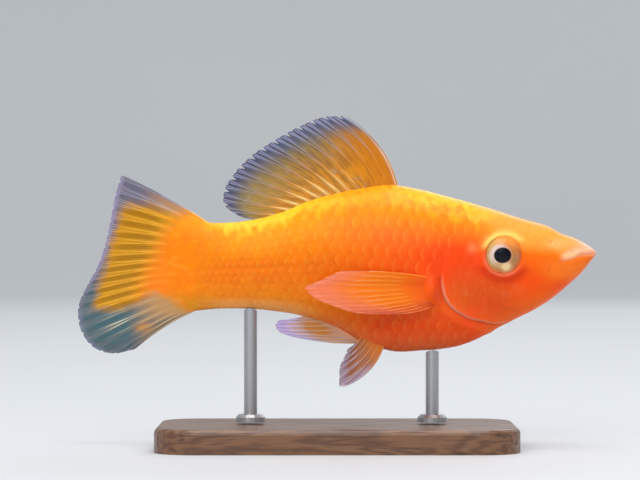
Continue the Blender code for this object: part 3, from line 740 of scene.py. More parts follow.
def build_skin(look):
    """One skin over head, jaw, gill covers, trunk and tail stalk, without a seam."""
    stations = skin_stations(look.rings)
    s, y, h = closed_body(stations, look.around)
    rows, count = s.shape
    form, marks = head_forms(s, y, h)
    points = in_metres(s, y, h)
    around = np.roll(points, -1, axis=1) - np.roll(points, 1, axis=1)
    normals = unit(np.cross(np.gradient(points, axis=0), around))
    scale_depth = 0.1
    points = points + normals * ((form - scale_depth * marks["scaled"]) * MM)[:, :, None]

    vertices = np.concatenate([points.reshape(-1, 3), [points[0].mean(axis=0), points[-1].mean(axis=0)]])
    step = np.linalg.norm(np.roll(points, -1, axis=1) - points, axis=2)
    girth = np.concatenate([np.zeros((rows, 1)), np.cumsum(step, axis=1)], axis=1)
    girth /= girth[:, -1:]
    snout_steps, tail_steps = 0.1 * np.arange(6, 0, -1), 0.3 * np.arange(1, 7)
    length = map_share(np.concatenate([SNOUT_END - snout_steps, stations, FLESH_END + tail_steps]))
    uv = []
    for i in range(rows - 1):
        for k in range(count):
            uv += [(length[j], girth[j, m]) for j, m in ((i, k), (i + 1, k), (i + 1, k + 1), (i, k + 1))]
    faces = ring_faces(rows, count)
    for row, middle, step_out in ((0, rows * count, -0.02), (rows - 1, rows * count + 1, 0.02)):
        for k in range(count):
            ring = [(row * count + k, girth[row, k]), (row * count + (k + 1) % count, girth[row, k + 1])]
            if row:
                ring.reverse()
            faces.append((ring[0][0], ring[1][0], middle))
            uv += [(length[row], share) for _, share in ring]
            uv.append((length[row] + step_out, (girth[row, k] + girth[row, k + 1]) / 2))

    skin = new_piece("body_skin", vertices.tolist(), faces, skin_finish(look))
    skin.data.shade_smooth()
    marks["flank"] = (h - belly(s)) / (back(s) - belly(s))
    for name, values in marks.items():
        store(skin.data, name, np.append(values.ravel(), [values[0].mean(), values[-1].mean()]))
    girth_map = skin.data.uv_layers.new(name="girth_map")
    girth_map.data.foreach_set("uv", np.array(uv, np.float32).ravel())
    return skin


class GOLDMOLLY_OT_skin(bpy.types.Operator):
    """Build the fish's skin"""

    bl_idname = "gold_molly.skin"
    bl_label = "Skin"

    def execute(self, context):
        settle(build_skin(context.scene.gold_molly_body), "body_skin", *FLESH)
        return {"FINISHED"}


# Scales


def scale_plate(material):
    """One scale lying flat: x runs towards its free rear edge and z is its height, all as shares."""
    spokes, rings = 14, (0.42, 0.78, 1.0)
    rim_drop, thickness = 0.05, 0.28
    outline_points = [(0.0, 0.0)]
    for ring in rings:
        for turn in (TURN * k / spokes for k in range(spokes)):
            x, y = math.cos(turn), math.sin(turn)
            flat_root = 0.86 if x < 0 else 1.0
            outline_points.append((0.5 * ring * x * flat_root, 0.5 * ring * y * (1 - 0.1 * max(0.0, x))))
    points = []
    for i, (x, y) in enumerate(outline_points):
        drop = rim_drop if i > (len(rings) - 1) * spokes else 0.0
        points.append((x, y, 0.08 + 0.92 * (x + 0.5) ** 1.1 - 1.1 * y * y - drop))
    points += [(x, y, z - thickness) for x, y, z in points[-spokes:]]
    faces = [(0, 1 + k, 1 + (k + 1) % spokes) for k in range(spokes)]
    faces += [tuple(1 + corner for corner in face) for face in ring_faces(len(rings) + 1, spokes)]
    faces.append(tuple(len(points) - 1 - k for k in range(spokes)))
    plate = new_piece("scales", points, faces, material)
    layer = plate.data.uv_layers.new(name="plate")
    for loop in plate.data.loops:
        x, y, _ = points[loop.vertex_index]
        layer.data[loop.index].uv = (x + 0.5, y + 0.5)
    return plate


def scale_tree():
    """Lays scales in staggered rows over the skin, in the skin's own map, and lifts their rear edges."""
    nodes = GeometryTree("lay_scales", [
        ("Skin", "Object", None),
        ("Rows", "Int", 26),
        ("Columns", "Int", 39),
        ("Map start", "Float", 0.15),
        ("Map end", "Float", 0.94),
        ("Closing", "Float", 0.22),
        ("Length", "Float", 1.75),
        ("Width", "Float", 1.3),
        ("Lift", "Float", 0.000085),
        ("Seed", "Int", 7),
        ("Material", "Material", None),
    ])
    plate = nodes.given
    rows, columns = plate.other("Rows"), plate.other("Columns")
    start, end, closing = plate.other("Map start"), plate.other("Map end"), plate.other("Closing")
    index = nodes.node("GeometryNodeInputIndex")
    column = ((index + 0.5) / rows).math("FLOOR")
    row = index - column * rows
    odd = row - (row / 2 + 0.001).math("FLOOR") * 2
    share = (column + odd * 0.5) / columns
    turn = (share + 0.1) * TURN
    warped = share - (turn.math("SINE") - math.sin(0.2 * math.pi)) * closing / TURN
    slope = 1 - turn.math("COSINE") * closing

    def draw(low, high, number):
        sockets = {2: low, 3: high, 7: index, 8: plate.other("Seed") + number}
        return nodes.node("FunctionNodeRandomValue", {"data_type": "FLOAT"}, sockets, output=1)

    u = start + (end - start) * warped + draw(-0.0012, 0.0012, 1)
    v = (row + 0.5) / rows + draw(-0.0014, 0.0014, 2)
    sockets = {"Count": rows * columns, "Position": nodes.vector(u, v)}
    points = nodes.node("GeometryNodePoints", {}, sockets)
    settings = {"transform_space": "ORIGINAL"}
    skin = nodes.node("GeometryNodeObjectInfo", settings, {"Object": plate.other("Skin")}, output="Geometry")
    girth_map = nodes.named("girth_map", "FLOAT_VECTOR")

    def on_skin(value, kind, at):
        sockets = {"Mesh": skin, "Value": value, "UV Map": girth_map, "Sample UV": at}
        return nodes.node("GeometryNodeSampleUVSurface", {"data_type": kind}, sockets)

    here = nodes.node("GeometryNodeInputPosition")
    scaled_here = on_skin(nodes.named("scaled"), "FLOAT", here)
    bare = nodes.node("FunctionNodeCompare", {"operation": "LESS_THAN"}, {0: scaled_here, 1: 0.06})
    sockets = {"Geometry": points, "Selection": bare}
    points = nodes.node("GeometryNodeDeleteGeometry", {"domain": "POINT"}, sockets)
    points = nodes.keep(points, "root", here, "FLOAT_VECTOR")
    points = nodes.keep(points, "tone", draw(0.0, 1.0, 3))
    size = nodes.vector(
        plate.other("Length") * (end - start) / columns * slope * draw(0.95, 1.06, 4),
        plate.other("Width") / rows * draw(0.95, 1.05, 5),
        draw(0.8, 1.15, 6),
    )
    points = nodes.keep(points, "size", size, "FLOAT_VECTOR")
    sockets = {"Points": points, "Instance": plate, "Scale": nodes.named("size", "FLOAT_VECTOR")}
    laid = nodes.node("GeometryNodeInstanceOnPoints", {}, sockets)
    laid = nodes.node("GeometryNodeRealizeInstances", {}, {"Geometry": laid})

    x = nodes.parts(here)
    at = nodes.vector(x, (x.other("Y") + 1.0).math("FRACT"))
    position = on_skin(nodes.node("GeometryNodeInputPosition"), "FLOAT_VECTOR", at)
    normal = on_skin(nodes.node("GeometryNodeInputNormal"), "FLOAT_VECTOR", at)
    raised = on_skin(nodes.named("scaled"), "FLOAT", at)
    height = plate.other("Lift") * (x.other("Z") * raised - (1 - raised) ** 6 * 3)
    lifted = nodes.vector_math("ADD", {0: position, 1: nodes.vector_math("SCALE", {0: normal, 3: height})})
    # crease carries the painted shade of the folds onto the scales.
    for name in ("flank", "crease", "scaled"):
        laid = nodes.keep(laid, name, on_skin(nodes.named(name), "FLOAT", at))
    centred = nodes.vector_math("SUBTRACT", {0: nodes.named("plate", "FLOAT_VECTOR"), 1: (0.5, 0.5, 0.0)})
    patch = nodes.vector_math("SCALE", {0: centred, 3: 0.003})
    patch = nodes.vector_math("ADD", {0: patch, 1: nodes.named("root", "FLOAT_VECTOR")})
    laid = nodes.keep(laid, "OFBake", patch, "FLOAT2", "CORNER")
    laid = nodes.node("GeometryNodeSetPosition", {}, {"Geometry": laid, "Position": lifted})
    for name in ("root", "size"):
        laid = nodes.node("GeometryNodeRemoveAttribute", {}, {"Geometry": laid, "Name": name})
    return nodes.end(laid)


def scale_finish(look):
    """The skin's markings on a scale, with a painted highlight along its free edge, and darker at its root.
    """
    finish = fleshy(
        "gold_orange_scales", Subsurface_Weight=0.1, Subsurface_Scale=0.0006,
        Coat_Roughness=0.14, Coat_IOR=1.36,
    )
    along = finish.parts(finish.node("ShaderNodeUVMap", {"uv_map": "plate"}))
    across = along.other("Y") - 0.5
    from_root = off_centre(along, across)
    tone, raised = finish.attribute("tone"), finish.attribute("scaled")
    colour = finish.layers(
        body_colour(finish, look),
        (from_root.near(0.45, 0.16) * (0.05 + tone * 0.12) * raised, paint(232, 66, 4)),
        # Painted highlight along the scale's raised free edge.
        (from_root.rise(0.72, 0.98) * raised * raised * 0.1, paint(255, 206, 96)),
    )
    rings = (from_root * 95.0).math("SINE")
    spokes = (across.math("ARCTAN2", along + 0.05) * 34.0).math("SINE")
    return finish.made(
        Base_Color=finish.mix(tone * raised, colour, (0.96, 0.93, 0.9), "MULTIPLY"),
        Roughness=0.3 + finish.noise(0.0006) * 0.18,
        Coat_Weight=0.06 + tone * 0.14,
        Normal=finish.bump(rings * 0.5 + spokes * from_root.rise(0.3, 0.6) * 0.5, 0.000006),
    )


class GOLDMOLLY_OT_scales(bpy.types.Operator):
    """Lay the scales over the skin"""

    bl_idname = "gold_molly.scales"
    bl_label = "Scales"

    def execute(self, context):
        skin = bpy.data.objects.get("body_skin")
        if skin is None:
            raise RuntimeError("Build the skin before the scales")
        sizes = context.scene.gold_molly_scales
        material = scale_finish(context.scene.gold_molly_body)
        first, last, closing = 8.2, 60.5, 0.22
        scales = scale_plate(material)
        grow(scales, scale_tree(), {
            "Skin": skin,
            "Rows": sizes.rows,
            "Columns": round((last - first) / (sizes.pitch / MM) * (1 + closing / 2)),
            "Map start": map_share(first),
            "Map end": map_share(last),
            "Closing": closing,
            "Lift": sizes.lift,
            "Seed": sizes.seed,
            "Material": material,
        })
        shade(scales.data, 50)
        settle(scales, "body_skin")
        return {"FINISHED"}


# Eyes


def turned(name, profile, side, material):
    """A closed round shape about the eye's line of sight, from (radius, y) pairs from its middle outwards."""
    steps = 72
    vertices = []
    for radius, out in profile:
        for turn in (TURN * k / steps for k in range(steps)):
            s, h = EYE_AT[0] + radius * math.cos(turn), EYE_AT[1] + radius * math.sin(turn)
            y = side * (out + EYE_TILT * radius * math.cos(turn))
            vertices.append(in_metres(s, y, h).tolist())
    piece = new_piece(name, vertices, ring_faces(len(profile), steps), material)
    shape = bmesh.new()
    shape.from_mesh(piece.data)
    bmesh.ops.remove_doubles(shape, verts=shape.verts, dist=1e-7)
    bmesh.ops.recalc_face_normals(shape, faces=shape.faces)
    shape.to_mesh(piece.data)
    shape.free()
    shade(piece.data, 50)
    return piece


def iris_finish(sizes):
    """Silver and tan iris with fine radial fibres, an orange-tan outer ring, a dark pupil and a painted
    highlight below it.
    """
    finish = Finish("silver_tan_iris", Specular_IOR_Level=0.03)
    s, h = finish.side_view()
    across, up = s - EYE_AT[0], h - EYE_AT[1]
    pupil_across = across - PUPIL_BACK
    lens = (pupil_across * pupil_across * 0.8 + up * up).math("SQRT") / (sizes.pupil / MM)
    pupil = lens.rise(1.03, 0.96)
    fibres = finish.noise(0.00035, 3.0)
    fans = (up.math("ARCTAN2", across) * 46.0 + fibres * 9.0).math("SINE") * 0.5 + 0.5
    ring = finish.layers(
        paint(212, 118, 66),
        (up.rise(0.2, 1.8), paint(246, 152, 60)),
        (across.rise(0.4, 1.8), paint(206, 160, 78)),
    )
    lidded = off_centre(across, up) + up.math("MAXIMUM", 0.0) * 0.26
    colour = finish.layers(
        paint(212, 140, 78),
        ((across + up * 0.4).rise(-0.8, 1.5), paint(232, 210, 202)),
        ((up - across * 0.7).rise(0.9, 2.3) * 0.85, paint(240, 138, 60)),
        ((across * -1.0 - up).rise(1.0, 2.4) * 0.4, paint(186, 146, 98)),
        (spot(across, up, (0.9, -1.5), (1.1, 0.8)) * 0.6, paint(222, 178, 92)),
        (fans * 0.16, paint(120, 78, 44)),
        (lidded.rise(1.75, 2.45) * 0.88, ring),
        # Painted highlight just below the pupil.
        (spot(across, up, (-0.3, -1.6), (0.62, 0.6)) * 1.7, paint(255, 222, 164)),
        (lens.near(1.1, 0.09) * 0.5, paint(222, 176, 158)),
        (pupil, paint(4, 3, 18)),
    )
    return finish.made(
        Base_Color=colour,
        Metallic=(1 - pupil) * 0.25,
        Roughness=0.34 - pupil * 0.26,
        Normal=finish.bump(fans * (1 - pupil) + fibres, 0.00003),
    )


def cornea_finish():
    """Clear wet cornea: a mirror seen only as much as clear gloss reflects."""
    finish = Finish("clear_cornea", Metallic=1.0, Roughness=0.03)
    waves = finish.noise(0.002, 1.0)
    gloss = finish.node("ShaderNodeFresnel", {}, {"IOR": 1.3})
    return finish.made(
        Base_Color=finish.mix(waves * 0.1, (1.0, 1.0, 1.0), (0.96, 0.98, 1.0)),
        Alpha=gloss * 0.45,
    )


def build_eye(side_name, sizes, iris, cornea):
    """An eyeball with its flat iris, and the clear cornea over it."""
    side = SIDES[side_name]
    skin_out = float(flank(*map(np.array, EYE_AT)))
    pupil, rim = sizes.pupil / MM, EYE_RADIUS * 0.995
    lens_edge, front, iris_front, rear = pupil * 1.25, skin_out + 0.42, skin_out + 0.2, skin_out - 0.8
    shares = np.linspace(0.0, 1.0, 18)[1:].tolist()
    ball = [(0.0, front)]
    ball += [(share * pupil * 1.25, front - 0.2 * share**2.5) for share in shares]
    ball += [(lens_edge + share * (rim - lens_edge), iris_front - 0.5 * share**1.6) for share in shares]
    ball += [(rim, rear - 0.2), (rim * 0.6, rear - 0.6), (0.0, rear - 0.7)]
    settle(turned(f"eyeball_{side_name}", ball, side, iris), "eye", f"eye_{side_name}")

    bulge, depth, thickness = 0.7, 1.5, 0.06
    centre = skin_out + bulge - depth
    clear = [(EYE_RADIUS * math.sin(a), centre + depth * math.cos(a)) for a in np.linspace(0, 1.35, 22)]
    clear += [(radius * 0.985, out - thickness) for radius, out in reversed(clear)]
    settle(turned(f"cornea_{side_name}", clear, side, cornea), "eye")


class GOLDMOLLY_OT_eyes(bpy.types.Operator):
    """Build both eyes with iris, pupil and cornea"""

    bl_idname = "gold_molly.eyes"
    bl_label = "Eyes"

    def execute(self, context):
        sizes = context.scene.gold_molly_eyes
        iris, cornea = iris_finish(sizes), cornea_finish()
        for side_name in SIDES:
            build_eye(side_name, sizes, iris, cornea)
        return {"FINISHED"}


# Fins


class Fin:
    """A fin's shape.

    root(t) and tip(t) give each ray's ends in the side view, bow(t) how far its middle is moved across it,
    and side(t, u) how far out it lies, for t from the first ray to the last and u from root to tip. forks
    are the places along a ray where it divides in two.
    """

    def __init__(self, kind, root, tip, bow, side, forks, notch, flesh, side_name="", flesh_reach=0.26,
                 ray_width=1.0, wave=0.05):
        end = f"_{side_name}" if side_name else ""
        self.name, self.node, self.slot = f"{kind}_membrane{end}", f"{kind}_fin{end}", f"{kind}_fin"
        self.rays = RAY_COUNTS[kind]
        self.root, self.tip, self.bow, self.side = root, tip, bow, side
        self.forks, self.notch, self.ray_width = forks, notch, ray_width
        self.flesh, self.flesh_reach, self.wave = flesh, flesh_reach, wave

    def points(self, t, u):
        """Points of the fin's middle surface, in the model's frame."""
        t, u = np.broadcast_arrays(np.asarray(t, float), np.asarray(u, float))
        start, end = self.root(t), self.tip(t)
        chord = end - start
        across = np.stack([-chord[1], chord[0]]) / np.hypot(chord[0], chord[1])
        control = (start + end) / 2 + 2 * self.bow(t) * across
        s, h = (1 - u) ** 2 * start + 2 * u * (1 - u) * control + u * u * end
        wave = self.wave * np.sin(TURN * t * (self.rays - 1) + 2.5 * math.pi * u) * rise(u, 0.2, 0.7)
        return in_metres(s, self.side(t, u) + wave, h)

    def reach(self, t):
        """How far the membrane reaches along its rays: cut back between them and a little in their forks."""
        phase = (np.asarray(t) * (self.rays - 1) + 0.5) % 1 - 0.5
        return 1 - self.notch * np.maximum(rise(np.abs(phase), 0.36, 0.5), 0.16 * near(phase, 0.07))


def build_membrane(fin, sizes, material):
    """The fin's thin skin, closed all round, thicker over its fleshy root."""
    columns, rows = (fin.rays - 1) * 12 + 1, 64
    t = np.linspace(0.0, 1.0, columns)[None, :]
    share = np.linspace(0.0, 1.0, rows)[:, None]
    u = share * fin.reach(t)
    middle = fin.points(t, u)
    normals = unit(np.cross(np.gradient(middle, axis=1), np.gradient(middle, axis=0)))
    half = sizes.membrane / 2 * (1 - 0.55 * rise(share, 0.86, 1.0))
    rounded = np.sqrt(np.maximum(0.0, 1 - np.abs(2 * t - 1) ** 6))
    half = half + fin.flesh * MM * rounded * np.maximum(0.0, 1 - u / fin.flesh_reach) ** 1.5
    front, rear = middle + normals * half[:, :, None], middle - normals * half[:, :, None]
    vertices = np.concatenate([front.reshape(-1, 3), rear.reshape(-1, 3)])
    other = rows * columns
    faces = []
    for i in range(rows - 1):
        for j in range(columns - 1):
            a = i * columns + j
            faces.append((a, a + 1, a + columns + 1, a + columns))
            faces.append((other + a, other + a + columns, other + a + columns + 1, other + a + 1))
    border = [(0, j) for j in range(columns)] + [(i, columns - 1) for i in range(1, rows)]
    border += [(rows - 1, j) for j in range(columns - 2, -1, -1)] + [(i, 0) for i in range(rows - 2, 0, -1)]
    indices = [i * columns + j for i, j in border]
    faces += [(b, a, other + a, other + b) for a, b in zip(indices, indices[1:] + indices[:1])]
    membrane = new_piece(fin.name, vertices.tolist(), faces, material)
    shade(membrane.data, 50)
    for name, values in (("across", np.broadcast_to(t, u.shape)), ("along", u)):
        store(membrane.data, name, np.tile(values.ravel(), 2))
    return membrane


def ray_lines(fin):
    """The rays as lines of (t, u): each stem, its two branches and their twigs."""
    step, spreads = 1 / (fin.rays - 1), (0.21, 0.09)
    bends = [0.0, *fin.forks, 1.0]
    for ray in range(fin.rays):
        for level in range(len(bends) - 1):
            u = np.linspace(bends[level], bends[level + 1], 14)
            for branch in range(2**level):
                shift = np.zeros_like(u)
                for i, (fork, spread) in enumerate(zip(fin.forks[:level], spreads)):
                    sign = 1 if branch >> i & 1 else -1
                    shift += sign * spread * np.clip((u - fork) / (1 - fork), 0.0, 1.0)
                t = np.clip((ray + shift) * step, 0.0, 1.0)
                cut = 1 - 0.985 * fin.reach(t[-1])
                yield t, u * (1 - cut * rise(u, fin.forks[-1], 1.0)), level


def ray_tree():
    """Turns lines into slim jointed rods, each as thick as its points say."""
    nodes = GeometryTree("fin_rays", [
        ("Sides", "Int", 7),
        ("Joints per metre", "Float", 1900.0),
        ("Joint depth", "Float", 0.05),
        ("Material", "Material", None),
    ])
    lines = nodes.given
    curve = nodes.node("GeometryNodeMeshToCurve", {}, {"Mesh": lines})
    curve = nodes.node("GeometryNodeResampleCurve", {"mode": "COUNT"}, {"Curve": curve, "Count": 30})
    length = nodes.node("GeometryNodeSplineParameter", output="Length")
    wave = (length * lines.other("Joints per metre") * TURN).math("COSINE")
    width = nodes.named("width") * (1 + wave * lines.other("Joint depth"))
    sockets = {"Resolution": lines.other("Sides"), "Radius": 1.0}
    round_profile = nodes.node("GeometryNodeCurvePrimitiveCircle", {}, sockets)
    sockets = {"Curve": curve, "Profile Curve": round_profile, "Scale": width, "Fill Caps": True}
    return nodes.end(nodes.node("GeometryNodeCurveToMesh", {}, sockets))


def build_rays(fin, sizes, material, tree):
    """The fin's rays, forked towards its margin."""
    vertices, edges, across, along, widths = [], [], [], [], []
    for t, u, level in ray_lines(fin):
        start = len(vertices)
        vertices += fin.points(t, u).tolist()
        edges += [(start + i, start + i + 1) for i in range(len(u) - 1)]
        across += t.tolist()
        along += u.tolist()
        slim = (1.0, 0.84, 0.7)[level]
        widths += (sizes.ray * fin.ray_width * slim * (1 - 0.42 * u)).tolist()
    mesh = bpy.data.meshes.new(f"{fin.name}_rays")
    mesh.from_pydata(vertices, edges, [])
    for name, values in (("across", across), ("along", along), ("width", widths)):
        store(mesh, name, values)
    rays = link(f"{fin.name}_rays", mesh)
    grow(rays, tree, {"Material": material})
    rays.data.shade_smooth()
    return rays


def build_fins(context, fins, membrane_finish, rays_finish):
    """The membranes and the rays of a group of like fins."""
    sizes = context.scene.gold_molly_fins
    tree = bpy.data.node_groups.get("fin_rays") or ray_tree()
    for fin in fins:
        settle(build_membrane(fin, sizes, membrane_finish), fin.slot, fin.node)
        settle(build_rays(fin, sizes, rays_finish, tree), fin.slot)


class FinFinish(Finish):
    """A thin wet membrane or ray, under construction."""

    def __init__(self, name, kind):
        super().__init__(
            name, Coat_Roughness=0.15, Specular_IOR_Level=0.25, Specular_Tint=(1.0, 0.7, 0.4, 1.0),
            Subsurface_Weight=0.15, Subsurface_Radius=(1.0, 0.3, 0.1), Subsurface_Scale=0.0006,
        )
        self.rays = RAY_COUNTS[kind]
        self.across, self.along = self.attribute("across"), self.attribute("along")

    def off_ray(self):
        """0 on a ray and 1 halfway between two."""
        phase = (self.across * (self.rays - 1) + 0.5).math("FRACT") - 0.5
        return phase.math("ABSOLUTE") * 2.0

    def streaks(self, size):
        """Noise from 0 to 1 in streaks that run with the rays, this wide as a share of the fin."""
        return self.noise(size, place=self.vector(self.across, self.along * 0.13))

    def fade(self, inner, outer):
        """Cover of a membrane that clears towards its margin."""
        return inner + self.along.rise(0.55, 1.0) * (outer - inner)

    def wet(self, colour, **alpha):
        """The material in this colour, with fine glossy streaks along the rays."""
        streaks = (self.across * (TURN * 5 * self.rays)).math("SINE") * 0.5 + 0.5
        return self.made(
            Base_Color=colour,
            Roughness=0.38 + self.noise(0.0008) * 0.15,
            Coat_Weight=0.12 + streaks * 0.1,
            Normal=self.bump(streaks + self.noise(0.0004) * 0.6, 0.00002),
            **alpha,
        )


def ray_finish(name, kind, inner, outer, start, end):
    """Rays that turn from one colour at the root to another at the margin."""
    finish = FinFinish(name, kind)
    return finish.wet(finish.mix((finish.along + finish.noise(0.002) * 0.1).rise(start, end), inner, outer))


def dorsal_fin():
    first, last, sunk = 28.6, 45.2, 1.1
    tips = outline([
        (36.3, 19.7), (39.7, 19.5), (42.7, 18.3), (46.5, 16.2), (50.0, 13.8), (52.4, 11.3), (53.9, 8.5),
        (53.9, 7.1), (52.4, 5.6), (51.4, 5.1),
    ])
    return Fin(
        "dorsal",
        root=lambda t: np.stack([first + (last - first) * t, back(first + (last - first) * t) - sunk]),
        tip=tips,
        bow=lambda t: 1.55 * (1 - t) ** 1.5 - 0.3 * t,
        side=lambda t, u: 0.5 * u * u * np.sin(2.2 * math.pi * t + 0.6),
        forks=(0.42, 0.8), notch=0.065, flesh=0.22, ray_width=0.8,
    )


def dorsal_membrane_finish():
    finish = FinFinish("amber_dorsal_membrane", "dorsal")
    across, along, off_ray, streaks = finish.across, finish.along, finish.off_ray(), finish.streaks(0.022)
    between = off_ray.rise(0.15, 0.7)
    amber = finish.mix(streaks.rise(0.38, 0.62), paint(164, 110, 26), paint(218, 140, 16))
    olive = finish.mix(streaks.rise(0.4, 0.65), paint(98, 98, 80), paint(146, 122, 58))
    margin = finish.mix(off_ray.near(0.45, 0.3), paint(44, 66, 98), paint(90, 110, 148))
    front = across.rise(0.34, 0.04)
    blotches = finish.noise(0.0011).rise(0.56, 0.7) * across.rise(0.15, 0.3)
    root = along.rise(0.42, 0.12) * across.rise(0.2, 0.5)
    colour = finish.layers(
        amber,
        ((along + streaks * 0.5 - front * 0.15).rise(0.45, 1.1), olive),
        (front * along.rise(0.95, 0.55) * 0.8, paint(200, 118, 12)),
        (across.rise(0.4, 0.75) * along.rise(0.2, 0.5) * 0.45, paint(172, 152, 86)),
        (blotches * 0.4, paint(160, 150, 130)),
        (root * (1 - between) * 0.55, paint(250, 214, 140)),
        (root * between * 0.4, paint(176, 130, 60)),
        ((along + streaks * 0.1).rise(0.72, 1.0), margin),
        (across.near(0.0, 0.012) * 0.8, paint(240, 240, 235)),
    )
    return finish.wet(colour, Alpha=0.97 - along.rise(0.45, 0.9) * 0.1 - along.rise(0.85, 1.0) * 0.06)


def dorsal_ray_finish():
    finish = FinFinish("cream_dorsal_rays", "dorsal")
    across, along = finish.across, finish.along
    return finish.wet(finish.layers(
        paint(214, 134, 30),
        (along.rise(0.3, 0.8), paint(150, 146, 150)),
        (along.rise(0.5, 0.15) * across.rise(0.2, 0.5), paint(255, 222, 150)),
        (along.rise(0.75, 1.0), paint(166, 170, 198)),
    ))


class GOLDMOLLY_OT_dorsal_fin(bpy.types.Operator):
    """Build the dorsal fin"""

    bl_idname = "gold_molly.dorsal_fin"
    bl_label = "Dorsal fin"

    def execute(self, context):
        build_fins(context, [dorsal_fin()], dorsal_membrane_finish(), dorsal_ray_finish())
        return {"FINISHED"}


def tail_fin():
    tips = outline([
        (68.7, 11.1), (69.5, 8.5), (70.2, 5.0), (71.1, 1.0), (72.3, -2.2), (73.9, -5.0), (75.2, -8.1),
        (74.8, -11.5), (73.0, -13.9), (70.3, -14.8), (67.0, -14.2),
    ])

    def side(t, u):
        """The margin of the upper half curls towards the fish's right, and the lower lobe a little left."""
        curl = np.maximum(0.0, (u - 0.45) / 0.55) ** 2
        upper = np.maximum(0.0, 1 - (np.maximum(0.0, t - 0.12) / 0.5) ** 2)
        return curl * (t - 2.4 * upper)

    return Fin(
        "tail",
        root=outline([(54.6, 3.1), (55.9, 1.6), (56.4, -2.0), (55.6, -5.6), (54.0, -6.9)]),
        tip=tips,
        bow=lambda t: 0.4 * (1 - t) ** 2 + 0.8 * t**3,
        side=side,
        forks=(0.3, 0.62), notch=0.012, flesh=0.3, flesh_reach=0.6,
    )


def tail_zone(finish):
    """The tail's amber field inside its clear margin, upper edge and lower lobe."""
    s, h = finish.side_view()
    across, along = finish.across, finish.along
    soft = (finish.noise(0.0018, 3.0) - 0.5) * 1.2 + (finish.streaks(0.02) - 0.5) * 1.6
    top = (across - along * along * 0.12 + soft * 0.03).rise(-0.02, 0.07)
    return (s + h * 0.3 + soft).rise(71.5, 69.7) * top * (1 - tail_wedge(finish))


def tail_flesh(finish):
    """The tail's fleshy base, which ends between the rays in soft fingers."""
    from_axis = finish.across - 0.58
    uneven = finish.off_ray() * 0.07 + finish.noise(0.003) * 0.1
    return (finish.along + uneven + from_axis * from_axis * 0.6).rise(0.75, 0.5)


def tail_tan(finish):
    """The forward part of the greyish wedge, which is tan and less clear."""
    s, h = finish.side_view()
    return tail_wedge(finish) * (s - h * 0.3).rise(71.8, 68.0)


def tail_membrane_finish():
    finish = FinFinish("amber_tail_membrane", "tail")
    s, h = finish.side_view()
    across, along, streaks = finish.across, finish.along, finish.streaks(0.02)
    between = finish.off_ray().rise(0.2, 0.8)
    zone, flesh, tan = tail_zone(finish), tail_flesh(finish), tail_tan(finish)
    lens = between * along.rise(0.4, 0.62) * along.rise(1.0, 0.82) * (0.65 + streaks * 0.35)
    clear = finish.layers(
        paint(98, 104, 132),
        (across.rise(0.25, 0.6), paint(34, 94, 104)),
        (streaks * 0.4, paint(100, 122, 128)),
        ((1 - between) * 0.2, paint(170, 174, 178)),
        (across.rise(0.84, 0.98) * 0.7, paint(138, 136, 152)),
        (tan, paint(112, 120, 116)),
        (spot(s, h, (65.6, -11.0), (1.3, 0.8)) * 0.7, paint(226, 150, 50)),
    )
    margin = along.rise(0.945, 0.985) * (0.75 - across.rise(0.45, 0.6) * 0.5)
    colour = finish.layers(
        clear,
        (zone, finish.mix(lens, paint(216, 152, 22), paint(154, 108, 0))),
        (across.rise(0.12, 0.02) * along.rise(0.85, 0.5) * 0.7, paint(206, 152, 92)),
        (flesh, tail_base_colour(finish)),
        (margin, paint(160, 158, 200)),
    )
    return finish.wet(colour, Alpha=0.88 + zone.math("MAXIMUM", flesh).math("MAXIMUM", tan * 0.6) * 0.09)


def tail_ray_finish():
    finish = FinFinish("amber_tail_rays", "tail")
    across, along = finish.across, finish.along
    pale = finish.layers(
        paint(152, 152, 172),
        (across.rise(0.4, 0.75), paint(72, 106, 114)),
        (tail_tan(finish), paint(186, 152, 114)),
    )
    amber = finish.layers(
        paint(255, 138, 8),
        (along.rise(0.35, 0.6), paint(238, 170, 48)),
        (across.rise(0.1, 0.02) * 0.7, paint(250, 196, 120)),
    )
    zone = tail_zone(finish).math("MAXIMUM", tail_flesh(finish)) * (1 - tail_wedge(finish))
    streak = spot(across, along, (0.76, 0.72), (0.05, 0.12))
    return finish.wet(finish.layers(pale, (zone, amber), (streak * 0.8, paint(232, 222, 186))))


class GOLDMOLLY_OT_tail_fin(bpy.types.Operator):
    """Build the tail fin"""

    bl_idname = "gold_molly.tail_fin"
    bl_label = "Tail fin"

    def execute(self, context):
        build_fins(context, [tail_fin()], tail_membrane_finish(), tail_ray_finish())
        return {"FINISHED"}


def anal_fin():
    return Fin(
        "anal",
        root=lambda t: np.stack([32.9 + 7.3 * t, belly(32.9 + 7.3 * t) + 0.4 + 0.4 * t]),
        tip=outline([(44.7, -12.0), (45.9, -11.5), (46.4, -10.7), (46.0, -10.0), (45.0, -9.9)]),
        bow=lambda t: -0.5 * (1 - t),
        side=lambda t, u: 0.0 * t * u,
        forks=(0.5,), notch=0.03, flesh=0.2, ray_width=0.9,
    )


def anal_membrane_finish():
    finish = FinFinish("brown_anal_membrane", "anal")
    across, along = finish.across, finish.along
    colour = finish.layers(
        paint(244, 182, 136),
        (along.rise(0.05, 0.25), paint(216, 190, 190)),
        (spot(across, along, (0.52, 0.4), (0.34, 0.25)) * 1.3, paint(196, 128, 58)),
        (along.rise(0.7, 0.95), paint(196, 172, 236)),
    )
    return finish.wet(colour, Alpha=finish.fade(0.97, 0.7))


class GOLDMOLLY_OT_anal_fin(bpy.types.Operator):
    """Build the anal fin"""

    bl_idname = "gold_molly.anal_fin"
    bl_label = "Anal fin"

    def execute(self, context):
        inner, outer = paint(214, 172, 126), paint(206, 190, 232)
        rays = ray_finish("pale_anal_rays", "anal", inner, outer, 0.45, 0.85)
        build_fins(context, [anal_fin()], anal_membrane_finish(), rays)
        return {"FINISHED"}


